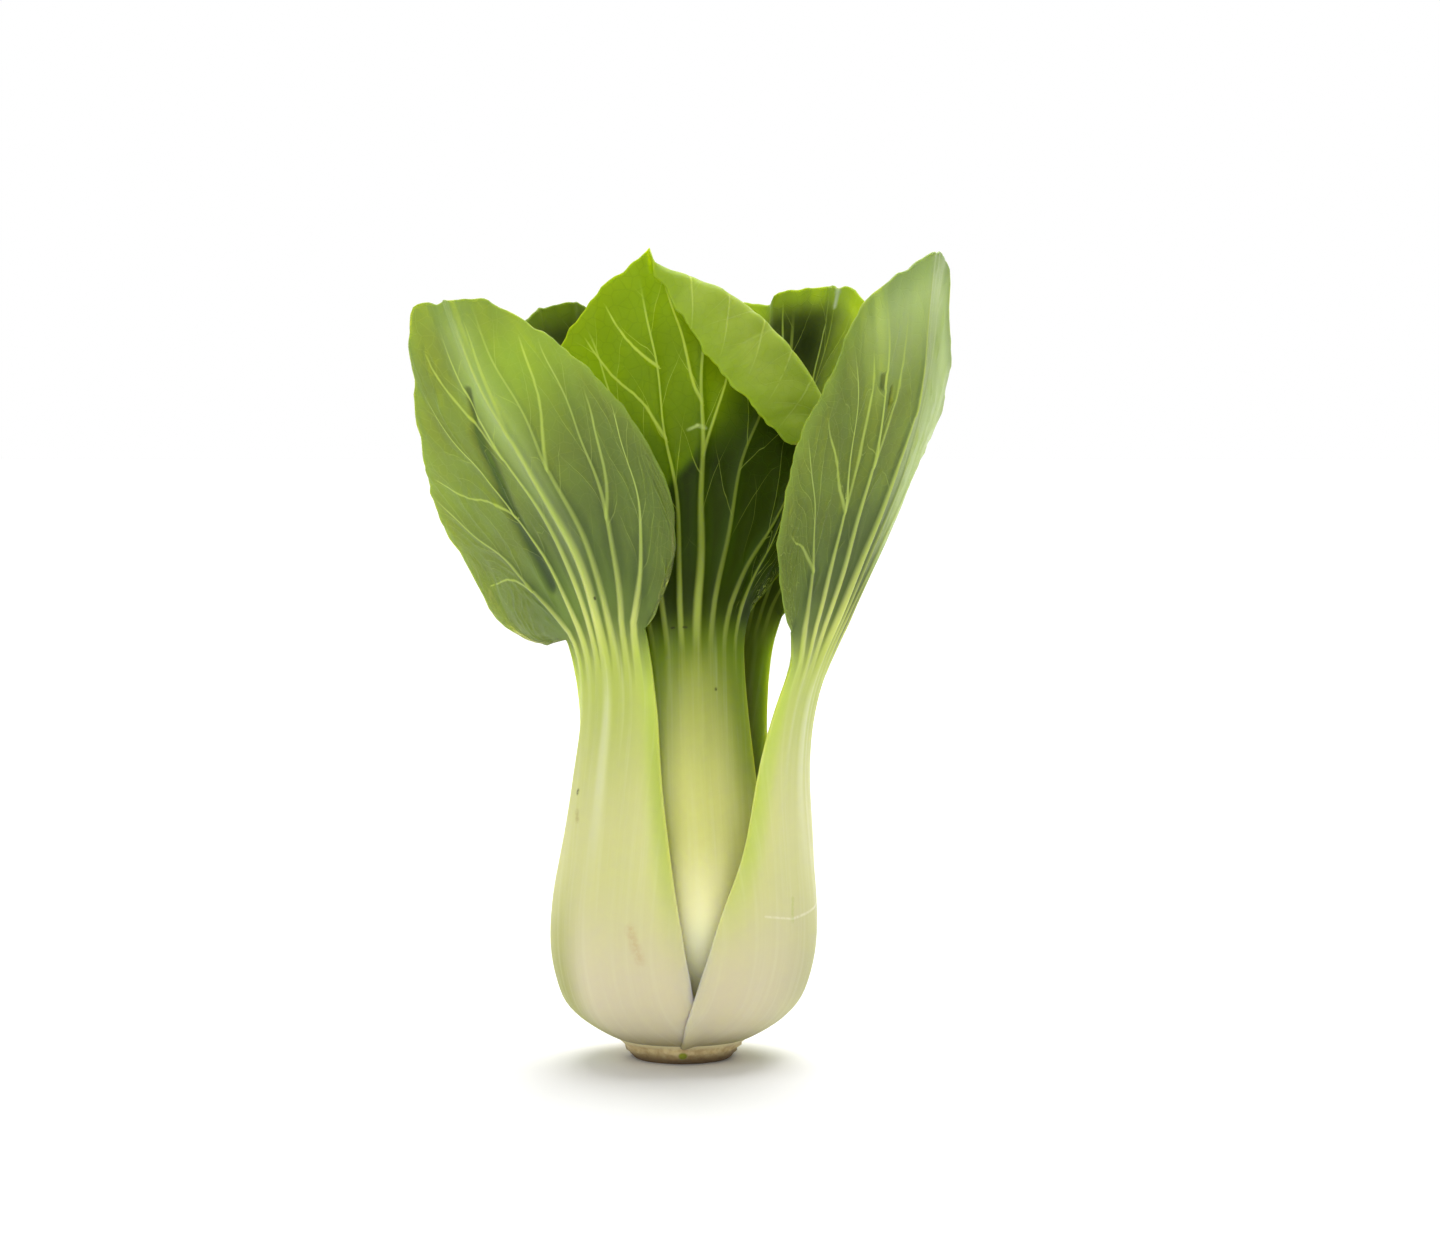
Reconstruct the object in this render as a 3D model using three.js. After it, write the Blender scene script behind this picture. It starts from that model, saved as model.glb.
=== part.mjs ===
// A head of bok choy, cut off at the root and standing on the cut.
// Millimetres, +Z up. The origin is the middle of the flat cut face and -Y is the front.
//
// Eleven leaves grow from one cut base. Each leaf is a single body: a fleshy stalk that turns into
// a thin blade with raised ribs. A leaf is first laid out flat and is then bent into its place.
//   u  runs across a leaf from -1 to 1, left to right for somebody who looks at its outer face
//   q  runs up it: 0 to 1 is the stalk, and from 1 to 2 the blade fans out to its margin
// Azimuth 0 is the front and +90 degrees is the +X side.

import * as THREE from 'three';

// ---- driving dimensions ----------------------------------------------------------------------

const CUT_RADIUS = 11.4;        // the flat face that the head stands on
const BULB_RADIUS = 31.8;       // the widest part of the swollen stalk bases
const BLADE_THICKNESS = 0.8;
const JOINT_GAP = 0.35;         // between a leaf and the base that it grows from
const MIN_WRAP_RADIUS = 2;      // keeps a stalk's bend finite near the axis
const FOLD_RISE = 7;            // how far a fold's arc rises to the margin where the fold starts

const RIB_STEP = 0.25;          // a rib at every quarter of a leaf's half width
const SIDE_RIB = 0.62;          // height of the ribs beside the midrib, as a share of the midrib's
const SIDE_RIB_FALL = 0.25;     // and what they lose towards the edge

// Columns of points across a leaf: one for each rib, one between, and more in the outer lobes,
// where the margin is longest.
const FEW_COLUMNS = [-1, -0.75, -0.5, -0.25, 0, 0.25, 0.5, 0.75, 1];
const COLUMNS = [
  -1, -0.9375, -0.875, -0.8125, -0.75, -0.625, -0.5, -0.375, -0.25, -0.125, 0,
  0.125, 0.25, 0.375, 0.5, 0.625, 0.75, 0.8125, 0.875, 0.9375, 1,
];

// Where the outer face of each ring of leaves leaves the base: [out from the axis, sideways, up].
const OUTER_RING = [
  [13.2, 0, 4.4], [16.8, 0, 5.4], [23.2, 0, 9.2], [27.8, 0, 14], [30.3, 0, 20], [BULB_RADIUS, 0, 28],
];
const MIDDLE_RING = [[9.2, 0, 12], [12.4, 0, 14.2], [18.2, 0, 20], [22.2, 0, 28], [24.3, 0, 38]];
const INNER_RING = [[5.6, 0, 17.6], [8, 0, 19.8], [12.6, 0, 25.4], [16.2, 0, 33], [18, 0, 42]];
const HEART_RING = [[3, 0, 21.6], [4.8, 0, 24.6], [8.6, 0, 31], [11, 0, 40], [11.8, 0, 50]];

// Thickness at the middle of the stalk: [share of the stalk's length, thickness].
const OUTER_FLESH = [[0, 5.5], [0.3, 7], [0.6, 5.5], [1, 3.4]];
const MIDDLE_FLESH = [[0, 4.5], [0.3, 5.6], [0.6, 4.6], [1, 3]];
const INNER_FLESH = [[0, 3.4], [0.3, 4.4], [0.6, 3.6], [1, 2.4]];
const HEART_FLESH = [[0, 2.2], [0.35, 3.4], [0.7, 2.8], [1, 2]];

const MIDDLE_WIDTH = [
  [0, 8], [0.08, 12.5], [0.18, 17], [0.36, 19], [0.62, 15], [0.82, 11], [0.93, 10.6], [1, 12.5],
];
const EVEN_RIBS = [-156, -95, -52, -20, 0, 20, 52, 95, 156];

// Each leaf:
//   stalk    length of the stalk, measured along its outer face
//   spine    the middle line of the outer face: [out, sideways, up]
//   width    half width of the stalk: [share of the stalk, mm]
//   centre   the blade's outline is drawn round a point this far above the stalk's top
//   outline  [degrees round that point from the leaf's tip, distance to the margin]
//   ribs     where each rib meets the margin, in degrees; the first and last are the leaf's edges
//   flare    how soon the ribs bend outwards, as a share of the way to the margin
//   turn     degrees that the face turns about its spine: [share of the leaf, degrees]
//   cup      how far the blade is curled round its spine: [share of the blade, 1/mm]
//   crease   how far each half is folded back at the midrib: [share of the leaf, radians]
//   open     the stretch of the stalk over which its round section flattens out
//   keel     how far the middle of the stalk swells outwards low down, in mm
//   fold     a shoulder of the blade that is turned over outwards, past an arc; the arc meets the
//            margin at the bearing where the fold starts
const LEAVES = [
  {
    name: 'leaf_front_left', azimuth: -42, stalk: 106, centre: 38,
    spine: [...OUTER_RING, [31.6, 0, 38], [30, 0, 50], [26.6, -1, 68], [24.2, -1.2, 86],
      [25.4, -2.2, 101], [31.5, -6, 121], [42, -13, 142], [51, -20, 161], [57, -24.5, 181]],
    width: [[0, 10.9], [0.035, 13.9], [0.11, 19.6], [0.17, 23], [0.23, 24.6], [0.31, 23.6],
      [0.4, 21.6], [0.52, 18.4], [0.69, 14.6], [0.86, 12.3], [1, 12.3]],
    outline: [[-156, 41.5], [-149, 45.5], [-136, 51.5], [-128, 51.8], [-118, 46], [-103, 38.5],
      [-84, 34.5], [-55, 31.5], [-40, 33], [-27, 36.5], [-16, 43], [-9, 49], [-2, 47], [12, 46.5],
      [22, 42.5], [40, 35.5], [60, 31], [95, 29.8], [115, 32], [130, 34.2], [146, 35.8], [156, 38.6]],
    ribs: [-156, -74, -23, -4, 3, 10, 31, 68, 156],
    flare: 0.72,
    turn: [[0, 0], [0.5, 0], [0.65, 4], [1, 10]],
    cup: [[0, 0.006], [0.5, 0.004], [1, 0.003]],
    crease: [[0, 0], [0.5, 0], [0.62, 0.1], [0.8, 0.15], [1, 0.1]],
    flesh: OUTER_FLESH, rib: 1.1, wave: 1, phase: 0.4,
  },
  {
    name: 'leaf_front_right', azimuth: 66, stalk: 106, centre: 40,
    spine: [...OUTER_RING, [31.8, 0, 38], [30.9, 0, 50], [30.4, -1, 68], [32.6, -2, 84],
      [37.2, -2, 98], [45.5, -1, 118], [53.5, 0, 139], [58.5, 1, 160], [60.5, 2, 189]],
    width: [[0, 13.5], [0.035, 17.1], [0.11, 24.2], [0.17, 28.6], [0.23, 30.6], [0.31, 29.6],
      [0.4, 26.4], [0.52, 20.5], [0.69, 14.8], [0.86, 12], [0.94, 12.2], [1, 15]],
    outline: [[-157, 42.3], [-149, 39.2], [-134, 34], [-119, 30], [-100, 28.3], [-80, 28.5],
      [-60, 30], [-48, 33], [-37, 36], [-28, 40.5], [-19, 44.5], [-4, 49.3], [3, 52], [16, 53.5],
      [20, 51.5], [26, 43], [40, 37], [60, 34], [90, 32], [120, 33.5], [143, 38], [157, 42.3]],
    ribs: [-157, -76, -31, -17, 2, 14, 48, 95, 157],
    flare: 0.2,
    turn: [[0, 0], [0.5, 0], [0.65, -8], [1, -14]],
    cup: [[0, 0.02], [0.5, 0.012], [1, 0.008]],
    crease: [[0, 0], [0.5, 0], [0.62, 0.15], [0.8, 0.2], [1, 0.1]],
    flesh: OUTER_FLESH, rib: 1.1, wave: 1, phase: 2.4,
  },
  {
    name: 'leaf_back', azimuth: 197.5, stalk: 103, centre: 40,
    spine: [...OUTER_RING, [31.8, 0, 38], [30.6, 0, 50], [27.6, 0, 68], [26.4, 0, 84],
      [28.4, 0, 98], [35.5, 0, 118], [44, 0, 138], [50, 0, 156], [54, 0, 173]],
    width: [[0, 16], [0.035, 20.4], [0.11, 28.9], [0.17, 34], [0.23, 36.4], [0.31, 36.8],
      [0.4, 34], [0.52, 28.5], [0.69, 20], [0.86, 14], [0.94, 12.8], [1, 15]],
    outline: [[-157, 43], [-142, 41], [-120, 36.5], [-90, 34], [-60, 35], [-30, 40], [0, 42],
      [30, 40], [60, 35], [90, 34], [120, 36.5], [142, 41], [157, 43]],
    ribs: EVEN_RIBS,
    flare: 0.4,
    turn: [[0, 0], [1, 0]],
    cup: [[0, 0.012], [0.5, 0.006], [1, 0.004]],
    flesh: OUTER_FLESH, rib: 1.1, wave: 1.5, phase: 3,
  },
  {
    name: 'leaf_front_centre', azimuth: 12, stalk: 99.5, centre: 44,
    spine: [...MIDDLE_RING, [23, 0, 54], [20.4, 0, 70], [18.2, 0, 86], [17, 0, 98],
      [16.6, 0, 110], [16, 0, 126], [15, -1, 145], [13, -3, 165], [10, -6, 185]],
    width: [[0, 8], [0.08, 12.5], [0.18, 17], [0.36, 19.5], [0.62, 16.5], [0.82, 14],
      [0.93, 13.8], [1, 15.5]],
    outline: [[-159, 46.5], [-145, 41], [-120, 33.5], [-90, 32], [-60, 35], [-40, 35.5],
      [-20, 38], [-9, 39.7], [-3.6, 41.2], [2.6, 41.5], [10.6, 43.7], [19, 45.6], [32, 47.8],
      [45, 49], [60, 49.4], [78, 49.2], [86, 48.4], [90.5, 46], [94.5, 34], [99, 30.5], [108, 30.5],
      [125, 34], [145, 41], [159, 46.5]],
    ribs: [-159, -80, -36, -9.5, 12, 40, 76, 112, 159],
    flare: 0.28,
    turn: [[0, 0], [0.5, 0], [1, -6]],
    cup: [[0, 0.01], [0.5, 0.006], [1, 0.004]],
    crease: [[0, 0], [0.5, 0], [0.62, 0.06], [0.8, 0.06], [1, 0]],
    open: [0.92, 1.2],
    fold: { across: -26.8, up: 24.4, arc: 58.7, radius: 2.6, degrees: 160, start: [20.2, 23.4] },
    keel: 3.2, flesh: MIDDLE_FLESH, rib: 1.1, wave: 0.4, phase: 1, bladeRows: 20,
  },
  {
    name: 'leaf_back_right', azimuth: 133, stalk: 97.5, centre: 42,
    spine: [...MIDDLE_RING, [23.4, 0, 54], [20.6, 0, 70], [20.6, 0, 86], [22, 0, 100],
      [26, 0, 120], [33, 1, 142], [38, 2, 162], [41, 3, 180]],
    width: MIDDLE_WIDTH,
    outline: [[-159, 44], [-142, 38], [-120, 33.5], [-90, 33], [-60, 36], [-40, 40], [-28, 41.8],
      [-18, 40.3], [-8, 39], [3, 38.2], [12, 36.6], [19, 38], [27, 41], [36, 42.3], [46, 39.8],
      [60, 35.5], [90, 32], [120, 34.5], [142, 40], [159, 44]],
    ribs: EVEN_RIBS,
    flare: 0.4,
    turn: [[0, 0], [1, 0]],
    cup: [[0, 0.02], [0.5, 0.01], [1, 0.006]],
    flesh: MIDDLE_FLESH, rib: 1.1, wave: 1.4, phase: 4,
  },
  {
    name: 'leaf_back_left', azimuth: 250, stalk: 97.5, centre: 42,
    spine: [...MIDDLE_RING, [23.4, 0, 54], [20.6, 0, 70], [19.6, 0, 86], [20.4, 0, 100],
      [24, -3, 120], [28, -7, 142], [32, -10, 161], [35, -11.5, 179.5]],
    width: MIDDLE_WIDTH,
    outline: [[-159, 44], [-142, 38], [-120, 32.5], [-90, 29], [-60, 31], [-30, 34], [0, 34.5],
      [30, 33], [60, 29], [90, 25], [120, 26], [142, 34], [159, 44]],
    ribs: EVEN_RIBS,
    flare: 0.4,
    turn: [[0, 0], [0.5, 0], [1, -22]],
    cup: [[0, 0.03], [0.5, 0.022], [1, 0.01]],
    flesh: MIDDLE_FLESH, rib: 1.1, wave: 1.2, phase: 5,
  },
  innerLeaf('leaf_inner_right', { azimuth: 75, top: 156, lean: 5, phase: 1.7 }),
  innerLeaf('leaf_inner_back', { azimuth: 192, top: 150, lean: 1, phase: 2.9 }),
  innerLeaf('leaf_inner_left', { azimuth: -54, top: 150, lean: -4, phase: 0.6 }),
  heartLeaf('leaf_heart_front', { azimuth: 20, top: 110, phase: 1.1 }),
  heartLeaf('leaf_heart_back', { azimuth: 200, top: 113, phase: 2.2 }),
];

// The half-grown leaves inside: small blades, still curled round the middle.
function innerLeaf(name, { azimuth, top, lean, phase }) {
  return {
    name, azimuth, phase, stalk: 78, centre: 24,
    spine: [...INNER_RING, [17.4, 0, 54], [15, 0, 70], [13.6, 0, 84], [13.2, lean * 0.2, 96],
      [13.4, lean * 0.6, 110], [13.6, lean, 126], [14, lean * 1.2, top]],
    width: [[0, 4.9], [0.1, 8.4], [0.22, 12], [0.4, 13.4], [0.65, 11], [0.85, 8.6], [1, 8]],
    outline: mirrored([[0, 40], [22, 34], [45, 21], [75, 12.5], [105, 12.2], [138, 17.5], [156, 25]]),
    ribs: EVEN_RIBS,
    flare: 0.4,
    turn: [[0, 0], [1, 0]],
    cup: [[0, 0.07], [0.5, 0.05], [1, 0.03]],
    open: [0.95, 1.5],
    flesh: INNER_FLESH, rib: 0.7, wave: 0.7,
    columns: FEW_COLUMNS, stalkRows: 6, bladeRows: 8,
  };
}

function heartLeaf(name, { azimuth, top, phase }) {
  return {
    name, azimuth, phase, stalk: 52, centre: 15,
    spine: [...HEART_RING, [11.2, 0, 62], [9.6, 0, 74], [8.6, 0, 86], [8, 0, 98], [7.4, 0, top]],
    width: [[0, 3.6], [0.2, 7], [0.45, 9.5], [0.7, 8], [1, 6]],
    outline: mirrored([
      [0, 15.5], [25, 14], [50, 11.5], [80, 10], [110, 10.5], [138, 12.5], [156, 16],
    ]),
    ribs: EVEN_RIBS,
    flare: 0.4,
    turn: [[0, 0], [1, 0]],
    cup: [[0, 0.1], [0.5, 0.08], [1, 0.06]],
    open: [0.95, 1.5],
    flesh: HEART_FLESH, rib: 0.4, wave: 0.4,
    columns: FEW_COLUMNS, stalkRows: 5, bladeRows: 6,
  };
}

// ---- small helpers ---------------------------------------------------------------------------

function mirrored(half) {
  const left = half.slice(1).reverse().map(([angle, distance]) => [-angle, distance]);
  return [...left, ...half];
}

const evenly = (from, to, steps) => Array.from(
  { length: steps + 1 },
  (_, i) => from + ((to - from) * i) / steps,
);

const clamp = (x, low, high) => Math.min(Math.max(x, low), high);

function smooth(from, to, x) {
  const t = clamp((x - from) / (to - from), 0, 1);
  return t * t * (3 - 2 * t);
}

// Slope of a row of knots at knot i, for a smooth curve through them.
function slope(knots, i) {
  const before = knots[Math.max(i - 1, 0)];
  const after = knots[Math.min(i + 1, knots.length - 1)];
  return (after[1] - before[1]) / (after[0] - before[0]);
}

// Smooth curve through [x, value] knots, flat past both ends.
function curve(knots, x) {
  const last = knots.length - 1;
  const at = clamp(x, knots[0][0], knots[last][0]);
  let i = 0;
  while (i < last - 1 && at >= knots[i + 1][0]) i += 1;
  const step = knots[i + 1][0] - knots[i][0];
  const t = (at - knots[i][0]) / step;
  const t2 = t * t;
  const t3 = t2 * t;
  return (2 * t3 - 3 * t2 + 1) * knots[i][1] + (t3 - 2 * t2 + t) * step * slope(knots, i)
    + (-2 * t3 + 3 * t2) * knots[i + 1][1] + (t3 - t2) * step * slope(knots, i + 1);
}

function outward(azimuth) {
  const a = THREE.MathUtils.degToRad(azimuth);
  return new THREE.Vector3(Math.sin(a), -Math.cos(a), 0);
}

// ---- the line that a leaf grows along --------------------------------------------------------

class Spine {
  constructor(leaf, samples = 240) {
    const out = outward(leaf.azimuth);
    const side = outward(leaf.azimuth + 90);
    const knots = leaf.spine.map(([away, across, up]) => out.clone().multiplyScalar(away)
      .addScaledVector(side, across).add(new THREE.Vector3(0, 0, up)));
    const axisKnots = ['x', 'y', 'z'].map((axis) => knots.map((knot, i) => [i, knot[axis]]));
    this.points = Array.from({ length: samples }, (_, i) => {
      const t = (i / (samples - 1)) * (knots.length - 1);
      return new THREE.Vector3(...axisKnots.map((row) => curve(row, t)));
    });
    this.lengths = [0];
    for (let i = 1; i < samples; i += 1) {
      this.lengths.push(this.lengths[i - 1] + this.points[i].distanceTo(this.points[i - 1]));
    }
    this.length = this.lengths[samples - 1];
    this.tangents = this.points.map((_, i) => {
      const before = this.points[Math.max(i - 1, 0)];
      const after = this.points[Math.min(i + 1, samples - 1)];
      return after.clone().sub(before).normalize();
    });
  }

  // The point and the direction at a distance along the line, and straight on past its ends.
  at(distance) {
    const d = clamp(distance, 0, this.length);
    let i = 0;
    while (i < this.lengths.length - 2 && this.lengths[i + 1] <= d) i += 1;
    const t = (d - this.lengths[i]) / (this.lengths[i + 1] - this.lengths[i]);
    const direction = this.tangents[i].clone().lerp(this.tangents[i + 1], t).normalize();
    const point = this.points[i].clone().lerp(this.points[i + 1], t);
    return { point: point.addScaledVector(direction, distance - d), direction };
  }
}

// ---- one leaf, from flat to its place --------------------------------------------------------

// Column u and row q to [across, along] in the flat leaf. In the blade each column runs on from
// the stalk and bends out to its own place on the margin.
function flatPoint(leaf, u, q) {
  if (q <= 1) return [u * curve(leaf.width, q), q * leaf.stalk];
  const s = q - 1;
  const angle = curve(leaf.ribs.map((bearing, i) => [i * RIB_STEP - 1, bearing]), u);
  const reach = curve(leaf.outline, angle);
  const a = THREE.MathUtils.degToRad(angle);
  const start = [u * curve(leaf.width, 1), leaf.stalk];
  const margin = [reach * Math.sin(a), leaf.stalk + leaf.centre + reach * Math.cos(a)];
  const pull = [
    start[0] + (margin[0] - start[0]) * leaf.flare,
    (start[1] + margin[1]) / 2,
  ];
  return [0, 1].map((k) => (1 - s) ** 2 * start[k] + 2 * s * (1 - s) * pull[k] + s * s * margin[k]);
}

// A waved margin, dying out towards the ribs and at the ends of the margin.
function waveHeight(leaf, u, q) {
  const s = Math.max(q - 1, 0);
  return leaf.wave * s ** 2.2 * (1 - u ** 8)
    * (Math.sin(9 * u + leaf.phase) + 0.55 * Math.sin(17.3 * u + 2.1 * leaf.phase + 1.3));
}

// Where a point of the flat leaf lies from the middle of the fold's arc, and how far it is past
// the arc.
function fromFold(leaf, across, along) {
  const { fold } = leaf;
  const dx = across - fold.across;
  const dy = along - (leaf.stalk + fold.up);
  const far = Math.hypot(dx, dy);
  const bearing = THREE.MathUtils.radToDeg(Math.atan2(dx, dy));
  const rise = FOLD_RISE * (1 - smooth(...fold.start, bearing));
  return { dx, dy, far, beyond: dy > 0 ? far - fold.arc - rise : -1 };
}

// Turns what lies beyond the fold's arc over towards the outer side of the leaf.
function foldOver(leaf, across, along, off) {
  const { fold } = leaf;
  if (!fold) return [across, along, off];
  const { dx, dy, far, beyond } = fromFold(leaf, across, along);
  if (beyond <= 0) return [across, along, off];
  const turn = Math.min(beyond / fold.radius, THREE.MathUtils.degToRad(fold.degrees));
  const rest = beyond - fold.radius * turn;
  const inPlane = fold.radius * Math.sin(turn) + rest * Math.cos(turn) - off * Math.sin(turn);
  const height = fold.radius * (1 - Math.cos(turn)) + rest * Math.sin(turn);
  const reach = (far - beyond + inPlane) / far;
  return [fold.across + dx * reach, leaf.stalk + fold.up + dy * reach, off * Math.cos(turn) + height];
}

// From the flat leaf to its place. Low down, all the stalks are parts of one round bulb; higher up
// a leaf has a section of its own, bent round its spine and creased at the midrib.
function bend(leaf, spine, across, along, off) {
  const share = clamp(along / spine.length, 0, 1);
  const { point, direction } = spine.at(along);
  const normal = outward(leaf.azimuth + curve(leaf.turn, share));
  normal.addScaledVector(direction, -normal.dot(direction)).normalize();
  const side = direction.clone().cross(normal);
  const radius = Math.max(Math.hypot(point.x, point.y), MIN_WRAP_RADIUS);

  const up = new THREE.Vector3(0, 0, 1);
  const roundPoint = point.clone().applyAxisAngle(up, across / radius);
  const roundNormal = normal.clone().applyAxisAngle(up, across / radius);

  const blade = clamp((along - leaf.stalk) / (spine.length - leaf.stalk), 0, 1);
  const [from, to] = leaf.open ?? [0.72, 1.12];
  const wrap = 1 / radius;
  const bent = wrap
    + (curve(leaf.cup, blade) - wrap) * smooth(from * leaf.stalk, to * leaf.stalk, along);
  const distance = Math.abs(across);
  const sharp = leaf.crease ? curve(leaf.crease, share) * (1 - Math.exp(-distance / 3)) : 0;
  const angle = sharp + bent * distance;
  const hand = Math.sign(across);
  const sideways = (hand * (Math.sin(angle) - Math.sin(sharp))) / bent;
  const depth = (Math.cos(sharp) - Math.cos(angle)) / bent;
  const ownPoint = point.clone().addScaledVector(side, sideways).addScaledVector(normal, -depth);
  const ownNormal = normal.clone().multiplyScalar(Math.cos(angle))
    .addScaledVector(side, hand * Math.sin(angle));

  const own = smooth(0.3 * leaf.stalk, 0.6 * leaf.stalk, along);
  return roundPoint.lerp(ownPoint, own)
    .addScaledVector(roundNormal.lerp(ownNormal, own).normalize(), off);
}

function place(leaf, spine, u, q, off) {
  const [across, along] = flatPoint(leaf, u, q);
  const folded = foldOver(leaf, across, along, off + waveHeight(leaf, u, q));
  return bend(leaf, spine, ...folded);
}

// Thick flesh in the stalk, thinning to the sides and to the blade.
function fleshThickness(leaf, u, q) {
  const stalk = curve(leaf.flesh, Math.min(q, 1));
  const middle = BLADE_THICKNESS + (stalk - BLADE_THICKNESS) * (1 - smooth(0, 0.45, q - 1));
  return BLADE_THICKNESS + (middle - BLADE_THICKNESS) * (1 - u * u) ** 0.75;
}

// Ribs stand out of the outer face, strongest where the stalk turns into the blade.
function ribHeight(leaf, u, q) {
  const steps = u / RIB_STEP;
  if (Math.abs(u) === 1 || steps !== Math.round(steps)) return 0;
  const share = u === 0 ? 1 : SIDE_RIB - SIDE_RIB_FALL * Math.abs(u);
  const along = q > 1 ? (2 - q) ** 0.8 : 0.12 + 0.85 * smooth(0.45, 1, q);
  return leaf.rib * share * along;
}

// A full, rounded middle low on the stalk.
function keelHeight({ keel = 0 }, u, q) {
  return keel * Math.exp(-((u / 0.42) ** 2)) * smooth(0, 0.1, q) * (1 - smooth(0.4, 0.75, q));
}

// ---- meshes ----------------------------------------------------------------------------------

// How far column u has passed the fold's arc at row q.
const pastFold = (leaf, u, q) => fromFold(leaf, ...flatPoint(leaf, u, q)).beyond;

// The rows of column u: closer together at the foot of the stalk, where it bends most, and set
// along the fold if the blade has one, so that the fold's edge is even.
const FOLD_ROWS = 4;

function rowsOf(leaf, u) {
  const { stalkRows = 9, bladeRows = 12, fold } = leaf;
  const stalk = Array.from({ length: stalkRows }, (_, i) => (i / stalkRows) ** 1.5);
  if (!fold) return [...stalk, ...evenly(1, 2, bladeRows)];

  const rolled = fold.radius * THREE.MathUtils.degToRad(fold.degrees);
  const before = Math.round(bladeRows * 0.55);
  const after = bladeRows - before - FOLD_ROWS;
  const marks = [];
  for (let k = 0; k <= FOLD_ROWS; k += 1) {
    const target = (rolled * k) / FOLD_ROWS;
    const previous = marks[k - 1] ?? 1;
    const spare = k === 0 ? 1.82 : previous + (2 - previous) / (FOLD_ROWS - k + after + 1);
    marks.push(pastFold(leaf, u, 2) > target ? crossing((q) => pastFold(leaf, u, q), target) : spare);
  }
  return [
    ...stalk, ...evenly(1, marks[0], before).slice(0, -1), ...marks.slice(0, -1),
    ...evenly(marks[FOLD_ROWS], 2, after),
  ];
}

// The row between 1 and 2 at which a rising measure reaches its target.
function crossing(measure, target) {
  let [low, high] = [1, 2];
  for (let i = 0; i < 30; i += 1) {
    const middle = (low + high) / 2;
    if (measure(middle) < target) low = middle;
    else high = middle;
  }
  return high;
}

// The outer and the inner face, cut into triangles alike, and a strip all round that joins them.
function leafGeometry(leaf) {
  const spine = new Spine(leaf);
  const columns = leaf.columns ?? COLUMNS;
  const rowsByColumn = columns.map((u) => rowsOf(leaf, u));
  const rowCount = rowsByColumn[0].length;
  const positions = [];
  const colours = [];
  const stalkColour = new THREE.Color('#dfe0bd');
  const bladeColour = new THREE.Color('#6f8f3a');

  for (const outer of [true, false]) {
    for (let row = 0; row < rowCount; row += 1) {
      for (const [column, u] of columns.entries()) {
        const q = rowsByColumn[column][row];
        const colour = stalkColour.clone().lerp(bladeColour, smooth(0.75, 1.25, q));
        const raised = ribHeight(leaf, u, q) + keelHeight(leaf, u, q);
        const off = outer ? raised : -fleshThickness(leaf, u, q);
        positions.push(...place(leaf, spine, u, q, off).toArray());
        colours.push(...colour.toArray());
      }
    }
  }

  const width = columns.length;
  const inner = width * rowCount;
  const faces = [];
  const quad = (a, b, c, d) => faces.push(a, b, c, a, c, d);
  for (let row = 0; row < rowCount - 1; row += 1) {
    for (let column = 0; column < width - 1; column += 1) {
      const a = row * width + column;
      quad(a, a + 1, a + width + 1, a + width);
      faces.push(inner + a, inner + a + width + 1, inner + a + 1);
      faces.push(inner + a, inner + a + width, inner + a + width + 1);
    }
  }
  const top = width * (rowCount - 1);
  for (let column = 0; column < width - 1; column += 1) {
    quad(column, inner + column, inner + column + 1, column + 1);
    quad(top + column, top + column + 1, inner + top + column + 1, inner + top + column);
  }
  for (let row = 0; row < rowCount - 1; row += 1) {
    const left = row * width;
    const right = left + width - 1;
    quad(left, left + width, inner + left + width, inner + left);
    quad(right, inner + right, inner + right + width, right + width);
  }

  const geometry = new THREE.BufferGeometry();
  geometry.setAttribute('position', new THREE.Float32BufferAttribute(positions, 3));
  geometry.setAttribute('color', new THREE.Float32BufferAttribute(colours, 3));
  geometry.setIndex(faces);
  geometry.computeVertexNormals();
  return geometry;
}

// The seat of a ring: a straight face along the butt ends of its leaves, a small gap inside them.
function ringSeat(ring, flesh) {
  const [[r0, , z0], [r1, , z1]] = ring;
  const run = Math.hypot(r1 - r0, z1 - z0);
  const [dr, dz] = [(r1 - r0) / run, (z1 - z0) / run];
  const thickness = flesh[0][1];
  const inside = ([r, z]) => [r - dr * JOINT_GAP, z - dz * JOINT_GAP];
  return [inside([r0, z0]), inside([r0 - dz * thickness, z0 + dr * thickness])];
}

// The cut base: a short stump of stem with a step for each ring of leaves.
function baseGeometry() {
  const profile = [
    [0, 0], [CUT_RADIUS, 0], [12.1, 0.7], [12.9, 1.9], [13.6, 3], [14.4, 4], [13.9, 4.1],
    ...ringSeat(OUTER_RING, OUTER_FLESH), [10.8, 10.4], [9.4, 11.2],
    ...ringSeat(MIDDLE_RING, MIDDLE_FLESH), [5.9, 16.4], [5.6, 17],
    ...ringSeat(INNER_RING, INNER_FLESH), [2.9, 20.6],
    ...ringSeat(HEART_RING, HEART_FLESH), [0, 22.4],
  ];
  const geometry = new THREE.LatheGeometry(profile.map(([r, z]) => new THREE.Vector2(r, z)), 32);
  geometry.rotateX(Math.PI / 2);
  return geometry;
}

// ---- the head --------------------------------------------------------------------------------

const head = new THREE.Group();

const cutBase = new THREE.Mesh(
  baseGeometry(),
  new THREE.MeshStandardMaterial({ color: '#c9bd96', roughness: 0.75, metalness: 0 }),
);
cutBase.name = 'cut_base';
head.add(cutBase);

for (const leaf of LEAVES) {
  const material = new THREE.MeshStandardMaterial({
    color: '#ffffff', vertexColors: true, roughness: 0.5, metalness: 0,
  });
  const mesh = new THREE.Mesh(leafGeometry(leaf), material);
  mesh.name = leaf.name;
  head.add(mesh);
}

export default head;
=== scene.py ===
import math
from types import SimpleNamespace

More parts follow.
